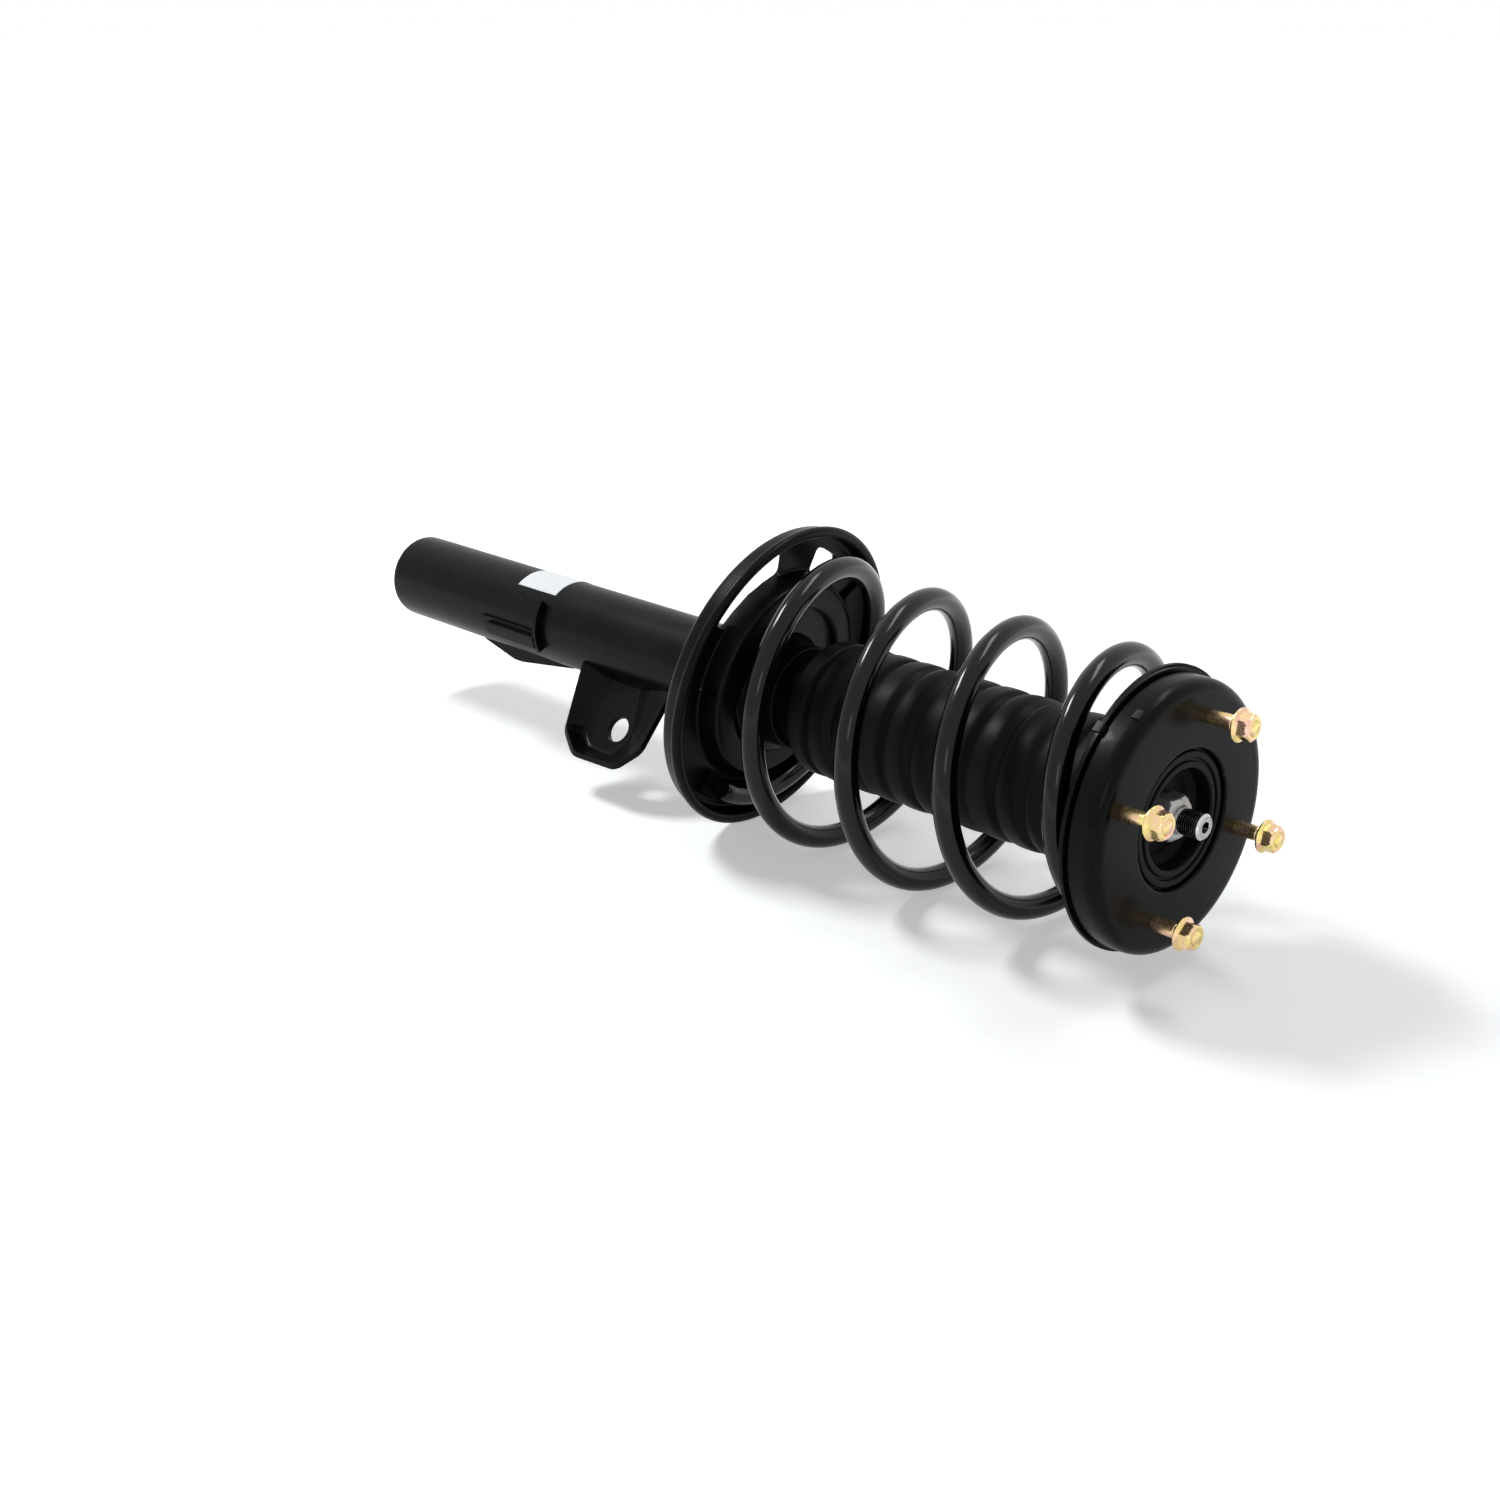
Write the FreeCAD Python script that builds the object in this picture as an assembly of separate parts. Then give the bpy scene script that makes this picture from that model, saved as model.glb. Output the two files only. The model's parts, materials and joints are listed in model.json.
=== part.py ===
import FreeCAD, Part
import math
import os

# Suspension strut with its coil spring and top mount, lying on its side as photographed.
# Every piece is modelled standing up: Z runs along the damper axis from the closed lower end of
# the tube to the top mount, X points up when the strut lies down, and Y points to the viewer.
# At the end everything is laid down: Z becomes the long axis +X and X becomes +Z.

V = FreeCAD.Vector

# Clearances
FIT = 0.05                  # between round faces that are fixed to each other
RUN = 0.05                  # radial running clearance of the piston rod and the piston
SOFT = 0.3                  # between a rubber piece and what it rests on

# Outer tube
TUBE_R = 27.5
TUBE_WALL = 2.5
TUBE_TOP_Z = 416.0
TUBE_END_ROUND = 4.5
CLAMP_END_Z = 73.5            # the knuckle's clamp grips the tube up to here
CLAMP_GROOVE = 0.8            # width of the shallow groove that marks it
CLAMP_GROOVE_DEEP = 0.4

# Damper insides
PRESSURE_R = 17.5
PRESSURE_WALL = 1.5
BASE_VALVE_T = 10.0
GUIDE_T = 16.0
SEAL_T = 6.0
CAP_T = 3.0
CAP_LIP = 1.6
ROD_R = 10.0
PISTON_T = 18.0
PISTON_GAP_Z = 34.0         # from the guide down to the top of the piston
BAND_T = 8.0
BAND_DEEP = 1.5
REBOUND_T = 12.0
REBOUND_R = 14.0
STEM_R = 6.0                # lower end of the rod, in the piston
PISTON_NUT_T = 8.0
PISTON_NUT_R = 9.5

# Coil spring
WIRE_R = 6.6
COIL_LOW_R = 74.35          # radius of the wire's centre line at the lower end
COIL_TOP_R = 67.1
COIL_BULGE = 5.0            # extra radius halfway up
COIL_CLOSE = 6.3            # how far the last loop draws in
COIL_START = -0.60          # in turns, counted from the top of the strut as it lies
COIL_END = 3.92
CLOSE_START = 2.9
CLOSE_TURNS = 0.8
RAMP_START = -0.522         # where the loops leave the lower seat
RAMP_END = 3.09             # and where they level out below the upper one
RAMP_TURNS = 0.36
BOW_UP = -10.9              # the side-load spring is bowed: its middle's offset from the line of its ends
BOW_SIDE = -1.85
BOW_LEAN_UP = -0.057
BOW_LEAN_SIDE = 0.061
TOP_UP = 6.0                # offset of its upper end from the damper axis
TOP_SIDE = -4.5
COIL_STEPS = 4              # arcs per turn are twice this

# Lower spring seat, a pressed dish that leans on the tube
SEAT_Z = 350.24             # centre of its rim, along the tube
SEAT_UP = 6.56
SEAT_SIDE = -3.08
SEAT_LEAN_UP = -0.1930      # the dish normal's share along X
SEAT_LEAN_SIDE = -0.0965    # and along Y
SEAT_RIM_R = COIL_LOW_R + 19.55   # clear of the coil that lies in the dish
SEAT_LIP_R = 3.2
SEAT_SHEET = 3.0
SEAT_DEEP = 9.0             # from the rim plane down to the coil's track
SEAT_TRACK_IN = COIL_LOW_R - 10.35
SEAT_BOSS_RISE = 13.5       # the raised middle, from the track up
SEAT_BOSS_DRAFT = 4.0       # how far its wall leans in
SEAT_BOSS_ROUND = 2.0
SEAT_HUB_R = SEAT_TRACK_IN - 18.0   # inside it, a lower ring meets the collar
SEAT_HUB_RISE = 9.0
COLLAR_WALL = 3.5
COLLAR_LOW = 26.0           # the collar's reach below and above the rim centre
COLLAR_HIGH = 26.0
WINDOW_IN = SEAT_TRACK_IN - 1.0
WINDOW_OUT = SEAT_RIM_R - 2 * SEAT_LIP_R - 0.5
WINDOW_ROUND = 5.0
WINDOW_1 = (4.0, 52.0)      # angles of the two windows, seen from the mount
WINDOW_2 = (-38.0, -13.0)
DRAIN_R = 2.5
DRAIN_AT = SEAT_TRACK_IN - 4.0
PAD_T = 3.0
PAD_HALF = 7.5
PAD_TURN = (140.0, 300.0)

# Dust boot
BOOT_LOW_Z = 402.0
BOOT_R = 39.6
BOOT_VALLEY = 4.2
BOOT_RIBS = 9
BOOT_COLLAR_LOW = 7.0
BOOT_COLLAR_TOP = 24.0
BOOT_BORE_R = 32.5

# Bump stop
BUMP_LEN = 58.0
BUMP_R = 24.0
BUMP_WAIST_R = 19.0
BUMP_TIP_R = 16.0

# Top mount
FACE_Z = 634.9              # front face of the mount plate
PLATE_R = 72.0
PLATE_SHEET = 3.0
PLATE_ROUND = 11.0
SKIRT_GAP = 1.2             # between the plate's skirt and the upper spring seat
RECESS_R = COIL_TOP_R - 29.8     # its wall stays clear of the coil round it
RECESS_DEEP = 20.0
CUP_HOLE_R = RECESS_R - 6.3
RUBBER_RING_IN = RECESS_R - 10.8
RUBBER_FLOOR = 13.5         # below the face
SLEEVE_R = 11.0
SHOULDER_DEEP = 29.0        # rod shoulder below the face
WASHER_T = 3.0
WASHER_R = CUP_HOLE_R - 1.0
THREAD_R = 6.9
ROD_OUT = 13.1              # rod end above the face
ROD_NUT_T = 11.0
ROD_NUT_AF = 22.0
SOCKET_AF = 6.0
SOCKET_DEEP = 9.0

# Studs and flange nuts
STUD_CIRCLE_R = 53.4
STUD_COUNT = 4
STUD_TURN = -20.1
STUD_R = 4.0
STUD_KNURL_R = 4.3
STUD_SHOULDER = 0.5         # how far the knurled part stands out of the plate
STUD_ROOT_R = 3.7
STUD_FREE = 13.4            # bare shank between the face and the nut
STUD_TIP = 4.0              # beyond the nut
STUD_RUNOUT = 1.2           # the thread starts this far below the nut
STUD_HEAD_R = 6.2
STUD_HEAD_T = 3.0
NUT_T = 8.6
NUT_AF = 13.0
NUT_FLANGE_R = 8.9
NUT_FLANGE_T = 1.6

# Bearing and upper spring seat
RACE_IN_R = RECESS_R + 7.3
RACE_OUT_R = PLATE_R - 6.0
RACE_T = 5.2
RACE_GROOVE_R = RACE_IN_R + 10.4
BALL_R = 2.6
BALLS = 16
RACE_GAP = 1.2
UPPER_SHEET = 3.0
UPPER_R = PLATE_R + 2.0
UPPER_COLLAR_R = 36.4
UPPER_COLLAR_LEN = 22.0
UPPER_PAD_T = 2.5

# Stabilizer link bracket
BRACKET_TURN = 145.0
BRACKET_SHEET = 3.5
BRACKET_DEEP = 14.0
BRACKET_FLOOR = ((219, 24), (217, 67.5), (227, 75), (252, 76), (261, 60.5), (251, 24))
BRACKET_MOUTH = ((200, 24), (211, 69), (227, 82), (268, 81), (283, 66), (288, 24))
BRACKET_ROUND = 8.0
BRACKET_HOLE_Z = 245.2
BRACKET_HOLE_OUT = 55.2
BRACKET_HOLE_R = 8.0

# Hose bracket and locating tab
HOSE_TURN = 103.0
HOSE_Z = 104.0
HOSE_LEN = 56.0
HOSE_WIDE = 12.0
HOSE_SHEET = 2.0
HOSE_STEP = 3.0
BLADE_HIGH = 4.5
BLADE_WIDE = 26.0
BLADE_TURN = 78.0
TAB_TURN = 170.0
TAB_Z = (76.0, 113.0, 169.0)
TAB_OUT = 8.6
TAB_SHEET = 3.0

# Label
LABEL_Z = (128.0, 166.0)
LABEL_TURN = (-52.0, 36.0)
LABEL_T = 0.15

# Sizes that follow from the ones above
GUIDE_Z = TUBE_TOP_Z - SEAL_T - GUIDE_T
CAP_TOP_Z = TUBE_TOP_Z + CAP_T
PISTON_TOP_Z = GUIDE_Z - PISTON_GAP_Z
SHOULDER_Z = FACE_Z - SHOULDER_DEEP
WASHER_TOP_Z = SHOULDER_Z + WASHER_T
ROD_NUT_Z = FACE_Z - ROD_NUT_T - 1.5
CUP_LOW_Z = FACE_Z - RECESS_DEEP - PLATE_SHEET
RECESS_WALL_R = RECESS_R + PLATE_SHEET
RACE_UP_TOP = FACE_Z - PLATE_SHEET - STUD_HEAD_T - SOFT
RACE_UP_Z = RACE_UP_TOP - RACE_T
RACE_LOW_Z = RACE_UP_Z - RACE_GAP - RACE_T
UPPER_SEAT_Z = RACE_LOW_Z - UPPER_SHEET
COIL_TOP_Z = UPPER_SEAT_Z - UPPER_PAD_T - SOFT - WIRE_R
BOOT_TOP_Z = CUP_LOW_Z - SKIRT_GAP - UPPER_SHEET - SOFT
UPPER_COLLAR_LOW = CUP_LOW_Z - SKIRT_GAP - UPPER_SHEET - UPPER_COLLAR_LEN
NUT_Z = FACE_Z + STUD_FREE


def smooth(x):
    """Rises from 0 to 1 with level ends."""
    x = min(max(x, 0.0), 1.0)
    return x * x * (3.0 - 2.0 * x)


def smooth_area(x):
    """Area under smooth() from 0 to x."""
    if x <= 0.0:
        return 0.0
    if x >= 1.0:
        return 0.5 + (x - 1.0)
    return x ** 3 - 0.5 * x ** 4


def turned(radius, degrees, z=0.0):
    angle = math.radians(degrees)
    return V(radius * math.cos(angle), radius * math.sin(angle), z)


def polygon(points):
    return Part.makePolygon(list(points) + [points[0]])


def revolved(profile):
    """Solid of revolution about Z of a closed outline of (radius, height) pairs."""
    face = Part.Face(polygon([V(r, 0, z) for r, z in profile]))
    return face.revolve(V(0, 0, 0), V(0, 0, 1), 360)


def ring(inner, outer, low, high):
    body = Part.makeCylinder(outer, high - low, V(0, 0, low))
    if inner > 0:
        body = body.cut(Part.makeCylinder(inner, high - low + 2, V(0, 0, low - 1)))
    return body


def hexagon(across_flats, low, high):
    corner = across_flats / math.sqrt(3.0)
    face = Part.Face(polygon([turned(corner, 60.0 * i, low) for i in range(6)]))
    return face.extrude(V(0, 0, high - low))


def one_solid(shape):
    shape = shape.removeSplitter()
    return shape.Solids[0] if len(shape.Solids) == 1 else shape


# Damper
def make_outer_tube():
    end = TUBE_END_ROUND
    outer = Part.makeCylinder(TUBE_R, TUBE_TOP_Z)
    low_edge = [e for e in outer.Edges if e.Curve.TypeId == "Part::GeomCircle" and e.CenterOfMass.z < 1]
    outer = outer.makeFillet(end, low_edge)
    inner = Part.makeCylinder(TUBE_R - TUBE_WALL, TUBE_TOP_Z, V(0, 0, TUBE_WALL * 1.4))
    groove = ring(TUBE_R - CLAMP_GROOVE_DEEP, TUBE_R + 1, CLAMP_END_Z, CLAMP_END_Z + CLAMP_GROOVE)
    return one_solid(outer.cut(inner).cut(groove))


def make_base_valve():
    low = TUBE_WALL * 1.4
    body = ring(0, TUBE_R - TUBE_WALL - FIT, low, low + BASE_VALVE_T)
    step = ring(PRESSURE_R - PRESSURE_WALL - FIT, TUBE_R, low + BASE_VALVE_T / 2, low + BASE_VALVE_T)
    return body.cut(step)


def make_pressure_tube():
    low = TUBE_WALL * 1.4 + BASE_VALVE_T / 2
    return ring(PRESSURE_R - PRESSURE_WALL, PRESSURE_R, low, GUIDE_Z + GUIDE_T / 2)


def make_rod_guide():
    body = ring(ROD_R + RUN, TUBE_R - TUBE_WALL - FIT, GUIDE_Z, GUIDE_Z + GUIDE_T)
    step = ring(PRESSURE_R - PRESSURE_WALL - FIT, TUBE_R, GUIDE_Z - 1, GUIDE_Z + GUIDE_T / 2)
    return body.cut(step)


def make_rod_seal():
    return ring(ROD_R + RUN, TUBE_R - TUBE_WALL - FIT, TUBE_TOP_Z - SEAL_T, TUBE_TOP_Z)


def make_gland_cap():
    return revolved([
        (ROD_R + SOFT, TUBE_TOP_Z),
        (TUBE_R, TUBE_TOP_Z),
        (TUBE_R, TUBE_TOP_Z + CAP_T - CAP_LIP),
        (TUBE_R - CAP_LIP, TUBE_TOP_Z + CAP_T),
        (ROD_R + 4, TUBE_TOP_Z + CAP_T),
        (ROD_R + SOFT, TUBE_TOP_Z + CAP_T - CAP_LIP),
    ])


def make_piston_rod():
    stem_low = PISTON_TOP_Z - PISTON_T - PISTON_NUT_T - 2.0
    body = ring(0, ROD_R, PISTON_TOP_Z, SHOULDER_Z)
    stem = ring(0, STEM_R, stem_low, PISTON_TOP_Z)
    top = FACE_Z + ROD_OUT
    thread = Part.makeCylinder(THREAD_R, top - SHOULDER_Z, V(0, 0, SHOULDER_Z))
    upper_edge = [e for e in thread.Edges if e.CenterOfMass.z > top - 0.1 and len(e.Vertexes) == 1
                  and e.Curve.TypeId == "Part::GeomCircle"]
    thread = thread.makeChamfer(1.0, upper_edge)
    body = body.fuse([stem, thread])
    return one_solid(body.cut(hexagon(SOCKET_AF, top - SOCKET_DEEP, top + 1)))


def make_piston():
    body = ring(STEM_R + FIT, PRESSURE_R - PRESSURE_WALL - RUN, PISTON_TOP_Z - PISTON_T, PISTON_TOP_Z)
    mid = PISTON_TOP_Z - PISTON_T / 2
    groove = ring(PRESSURE_R - PRESSURE_WALL - BAND_DEEP, TUBE_R, mid - BAND_T / 2, mid + BAND_T / 2)
    return body.cut(groove)


def make_piston_band():
    mid = PISTON_TOP_Z - PISTON_T / 2
    inner = PRESSURE_R - PRESSURE_WALL - BAND_DEEP + FIT
    return ring(inner, PRESSURE_R - PRESSURE_WALL - RUN, mid - BAND_T / 2, mid + BAND_T / 2)


def make_piston_nut():
    top = PISTON_TOP_Z - PISTON_T
    body = hexagon(PISTON_NUT_R * 2, top - PISTON_NUT_T, top)
    return body.cut(ring(0, STEM_R + FIT, top - PISTON_NUT_T - 1, top + 1))


def make_rebound_stop():
    top = GUIDE_Z - SOFT
    low = top - REBOUND_T
    body = revolved([
        (ROD_R + FIT, low), (REBOUND_R - 2, low), (REBOUND_R, low + 2),
        (REBOUND_R, top - 2), (REBOUND_R - 2, top), (ROD_R + FIT, top),
    ])
    return body


# Lower spring seat
def seat_placement():
    """Placement that takes the dish's own frame, rim plane at z = 0, to the strut's frame."""
    normal = V(SEAT_LEAN_UP, SEAT_LEAN_SIDE, math.sqrt(1 - SEAT_LEAN_UP ** 2 - SEAT_LEAN_SIDE ** 2))
    along = V(1, 0, 0) - normal * normal.x
    along.normalize()
    across = normal.cross(along)
    turn = FreeCAD.Rotation(along, across, normal, "ZXY")
    return FreeCAD.Placement(V(SEAT_UP, SEAT_SIDE, SEAT_Z), turn)


def sector(inner, outer, low, high, start, end):
    """A piece of a ring between two angles."""
    points = [turned(inner, start, low), turned(outer, start, low)]
    middle = (start + end) / 2
    edges = [
        Part.makeLine(turned(inner, start, low), turned(outer, start, low)),
        Part.Arc(turned(outer, start, low), turned(outer, middle, low), turned(outer, end, low)).toShape(),
        Part.makeLine(turned(outer, end, low), turned(inner, end, low)),
        Part.Arc(turned(inner, end, low), turned(inner, middle, low), points[0]).toShape(),
    ]
    return Part.Face(Part.Wire(edges)).extrude(V(0, 0, high - low))


def make_lower_spring_seat():
    wall_in = SEAT_RIM_R - 2 * SEAT_LIP_R
    wall_out = wall_in + SEAT_SHEET
    floor = -SEAT_DEEP
    s = SEAT_SHEET
    boss = floor + SEAT_BOSS_RISE
    boss_r = SEAT_TRACK_IN - SEAT_BOSS_DRAFT
    dish = revolved([
        (SEAT_HUB_R - 2, floor + SEAT_HUB_RISE),
        (SEAT_HUB_R, boss),
        (boss_r - SEAT_BOSS_ROUND, boss),
        (boss_r, boss - SEAT_BOSS_ROUND),
        (SEAT_TRACK_IN, floor),
        (wall_in - 2, floor),
        (wall_in, floor + 2),
        (wall_in, 0),
        (wall_out, 0),
        (wall_out, floor + 1 - s),
        (wall_out - 3, floor - s),
        (SEAT_TRACK_IN - s, floor - s),
        (boss_r - s, boss - s),
        (SEAT_HUB_R + s, boss - s),
        (SEAT_HUB_R + s - 2, floor + SEAT_HUB_RISE - s),
        (SEAT_HUB_R - 2, floor + SEAT_HUB_RISE - s),
    ])
    lip = Part.makeTorus(SEAT_RIM_R - SEAT_LIP_R, SEAT_LIP_R)
    hub = ring(0, SEAT_HUB_R - 1, floor + SEAT_HUB_RISE - s, floor + SEAT_HUB_RISE)
    dish = dish.fuse([lip, hub])
    deep = 3 * SEAT_DEEP
    for start, end in (WINDOW_1, WINDOW_2):
        window = sector(WINDOW_IN, WINDOW_OUT, -deep, deep, start, end)
        corners = [e for e in window.Edges if abs(e.Vertexes[0].Z - e.Vertexes[-1].Z) > deep]
        dish = dish.cut(window.makeFillet(WINDOW_ROUND, corners))
    for angle in (-56.0, 84.0):
        hole = Part.makeCylinder(DRAIN_R, 2 * deep, turned(DRAIN_AT, angle, -deep))
        dish = dish.cut(hole)
    dish.Placement = seat_placement()
    low = SEAT_Z - COLLAR_LOW
    high = SEAT_Z + COLLAR_HIGH
    outer = TUBE_R + FIT + COLLAR_WALL
    dish = dish.fuse(ring(0, outer, low, high))
    dish = dish.cut(ring(0, TUBE_R + FIT, low - 20, high + 20))
    return one_solid(dish)


def make_lower_spring_pad():
    floor = -SEAT_DEEP
    middle = COIL_LOW_R + 0.9
    pad = sector(middle - PAD_HALF, middle + PAD_HALF, floor, floor + PAD_T, PAD_TURN[0], PAD_TURN[1])
    pad.Placement = seat_placement()
    return pad


# Coil spring
def coil_point(t):
    """Centre line of the wire, t in turns from the top of the lying strut."""
    upright = math.sqrt(1 - SEAT_LEAN_UP ** 2 - SEAT_LEAN_SIDE ** 2)
    share = coil_rise(t) / coil_rise(COIL_END)
    bow = 4 * share * (1 - share)
    low = SEAT_Z + (PAD_T + SOFT + WIRE_R - SEAT_DEEP) / upright
    height = low + (COIL_TOP_Z - low) * share
    radius = COIL_LOW_R + (COIL_TOP_R - COIL_LOW_R) * share + COIL_BULGE * bow
    radius -= COIL_CLOSE * smooth((t - CLOSE_START) / CLOSE_TURNS)
    angle = 2 * math.pi * t
    x = radius * math.cos(angle)
    y = radius * math.sin(angle)
    on_seat = 1 - smooth(share)
    lean_up = -SEAT_LEAN_UP / upright * on_seat + BOW_LEAN_UP * bow
    lean_side = -SEAT_LEAN_SIDE / upright * on_seat + BOW_LEAN_SIDE * bow
    centre_up = SEAT_UP * (1 - share) + TOP_UP * share + BOW_UP * bow
    centre_side = SEAT_SIDE * (1 - share) + TOP_SIDE * share + BOW_SIDE * bow
    return V(centre_up + x, centre_side + y, height + lean_up * x + lean_side * y)


def coil_rise(t):
    """Rise of the coil in pitches: level ends with an even climb between them."""
    climb = RAMP_TURNS * smooth_area((t - RAMP_START) / RAMP_TURNS)
    fall = RAMP_TURNS * smooth_area((t - RAMP_END) / RAMP_TURNS)
    return climb - fall


def coil_tangent(t):
    step = 1e-4
    way = coil_point(t + step) - coil_point(t - step)
    way.normalize()
    return way


def tangent_arc(start, way, end):
    """The arc that leaves start along way and ends at end."""
    chord = end - start
    normal = chord - way * chord.dot(way)
    if normal.Length < 1e-7:
        return Part.makeLine(start, end)
    normal.normalize()
    radius = chord.Length ** 2 / (2 * chord.dot(normal))
    half = math.atan2(chord.dot(normal), chord.dot(way))
    middle = start + way * (radius * math.sin(half)) + normal * (radius * (1 - math.cos(half)))
    return Part.Arc(start, middle, end).toShape()


def biarc(p0, t0, p1, t1):
    """Two arcs that join p0 and p1 and keep both tangents."""
    gap = p1 - p0
    both = t0 + t1
    a = 2 * (1 - t0.dot(t1))
    b = gap.dot(both)
    reach = (-b + math.sqrt(b * b + a * gap.dot(gap))) / a
    join = (p0 + p1 + (t0 - t1) * reach) * 0.5
    join_way = (p1 - t1 * reach) - (p0 + t0 * reach)
    join_way.normalize()
    return [tangent_arc(p0, t0, join), tangent_arc(join, join_way, p1)]


def make_coil_spring():
    quarters = int(round((COIL_END - COIL_START) * COIL_STEPS))
    step = (COIL_END - COIL_START) / quarters
    stops = [COIL_START + i * step for i in range(quarters + 1)]
    edges = []
    for i in range(quarters):
        edges += biarc(coil_point(stops[i]), coil_tangent(stops[i]),
                       coil_point(stops[i + 1]), coil_tangent(stops[i + 1]))
    path = Part.Wire(edges)
    circle = Part.Circle(coil_point(COIL_START), coil_tangent(COIL_START), WIRE_R)
    profile = Part.Wire([circle.toShape()])
    return path.makePipeShell([profile], True, False).Solids[0]


def coil_gap():
    """Least gap of the wire to itself, measured on points of its centre line."""
    count = 120 * 5
    stops = [COIL_START + (COIL_END - COIL_START) * i / count for i in range(count + 1)]
    points = [coil_point(t) for t in stops]
    least = 1e9
    for i in range(len(points)):
        for j in range(i + 1, len(points)):
            if stops[j] - stops[i] > 0.5:
                least = min(least, points[i].distanceToPoint(points[j]))
    return least - 2 * WIRE_R


# Dust boot and bump stop
def make_dust_boot():
    ribs_low = BOOT_LOW_Z + BOOT_COLLAR_LOW
    ribs_top = BOOT_TOP_Z - BOOT_COLLAR_TOP
    pitch = (ribs_top - ribs_low) / BOOT_RIBS
    collar_r = BOOT_R - 1.5
    stations = [(collar_r, BOOT_LOW_Z), (collar_r, ribs_low)]
    for i in range(BOOT_RIBS):
        low = ribs_low + i * pitch
        stations += [
            (BOOT_R - BOOT_VALLEY, low + 0.12 * pitch),
            (BOOT_R - 0.6, low + 0.36 * pitch),
            (BOOT_R, low + 0.62 * pitch),
            (BOOT_R - 1.4, low + 0.95 * pitch),
        ]
    stations += [(collar_r, ribs_top + 1.5), (BOOT_R - 0.2, BOOT_TOP_Z - 2), (BOOT_R - 0.2, BOOT_TOP_Z)]
    rings = [Part.Wire([Part.Circle(V(0, 0, z), V(0, 0, 1), r).toShape()]) for r, z in stations]
    body = Part.makeLoft(rings, True, True)
    collar_bore = TUBE_R + SOFT
    bore = revolved([
        (0, BOOT_LOW_Z - 1), (collar_bore, BOOT_LOW_Z - 1), (collar_bore, ribs_low),
        (BOOT_BORE_R, ribs_low + 6), (BOOT_BORE_R, UPPER_COLLAR_LOW - 5),
        (UPPER_COLLAR_R + SOFT, UPPER_COLLAR_LOW - 1), (UPPER_COLLAR_R + SOFT, BOOT_TOP_Z + 1),
        (0, BOOT_TOP_Z + 1),
    ])
    return one_solid(body.cut(bore))


def make_bump_stop():
    top = SHOULDER_Z
    low = top - BUMP_LEN
    bore = ROD_R + SOFT
    third = BUMP_LEN / 3
    return revolved([
        (bore, low), (BUMP_TIP_R, low), (BUMP_TIP_R + 2, low + 3),
        (BUMP_TIP_R + 2, low + third - 5), (BUMP_WAIST_R - 4, low + third),
        (BUMP_R - 3, low + third + 6), (BUMP_R - 3, low + 2 * third - 5),
        (BUMP_WAIST_R, low + 2 * third), (BUMP_R, low + 2 * third + 6), (BUMP_R, top), (bore, top),
    ])


def make_bump_washer():
    return ring(THREAD_R + FIT, WASHER_R, SHOULDER_Z, WASHER_TOP_Z)


# Top mount
def make_mount_plate():
    inner = RECESS_R
    wall = RECESS_WALL_R
    s = PLATE_SHEET
    out = PLATE_R
    skirt = UPPER_SEAT_Z + UPPER_SHEET + SKIRT_GAP
    bend = PLATE_ROUND

    def corner(radius, centre_r, centre_z):
        middle = math.radians(45)
        return Part.Arc(V(centre_r, 0, centre_z + radius),
                        V(centre_r + radius * math.sin(middle), 0, centre_z + radius * math.cos(middle)),
                        V(centre_r + radius, 0, centre_z)).toShape()

    centre_r = out - bend
    centre_z = FACE_Z - bend
    small = bend - s
    line = Part.makeLine
    edges = [
        line(V(inner, 0, FACE_Z), V(centre_r, 0, FACE_Z)),
        corner(bend, centre_r, centre_z),
        line(V(out, 0, centre_z), V(out, 0, skirt)),
        line(V(out, 0, skirt), V(out - s, 0, skirt)),
        line(V(out - s, 0, skirt), V(out - s, 0, centre_z)),
        corner(small, centre_r, centre_z),
        line(V(centre_r, 0, FACE_Z - s), V(wall, 0, FACE_Z - s)),
        line(V(wall, 0, FACE_Z - s), V(wall, 0, CUP_LOW_Z)),
        line(V(wall, 0, CUP_LOW_Z), V(CUP_HOLE_R, 0, CUP_LOW_Z)),
        line(V(CUP_HOLE_R, 0, CUP_LOW_Z), V(CUP_HOLE_R, 0, CUP_LOW_Z + s)),
        line(V(CUP_HOLE_R, 0, CUP_LOW_Z + s), V(inner, 0, CUP_LOW_Z + s)),
        line(V(inner, 0, CUP_LOW_Z + s), V(inner, 0, FACE_Z)),
    ]
    face = Part.Face(Part.Wire(edges))
    plate = face.revolve(V(0, 0, 0), V(0, 0, 1), 360)
    for i in range(STUD_COUNT):
        at = turned(STUD_CIRCLE_R, STUD_TURN + 360.0 * i / STUD_COUNT, FACE_Z - 2 * s)
        plate = plate.cut(Part.makeCylinder(STUD_KNURL_R + FIT, 4 * s, at))
    return one_solid(plate)


def make_mount_rubber():
    low = CUP_LOW_Z + PLATE_SHEET
    top = FACE_Z - 1.5
    outer = RECESS_R - FIT
    floor = FACE_Z - RUBBER_FLOOR
    return revolved([
        (SLEEVE_R + FIT, low), (outer, low), (outer, top - 2.5), (outer - 1.8, top - 2.5), (outer - 1.8, top),
        (outer - 5.5, top), (outer - 5.5, top - 1.2), (outer - 7.0, top - 1.2), (outer - 7.0, top),
        (RUBBER_RING_IN, top), (RUBBER_RING_IN, floor + 3), (RUBBER_RING_IN - 3, floor),
        (SLEEVE_R + FIT, floor),
    ])


def make_inner_sleeve():
    return ring(THREAD_R + FIT, SLEEVE_R, WASHER_TOP_Z, ROD_NUT_Z)


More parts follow.
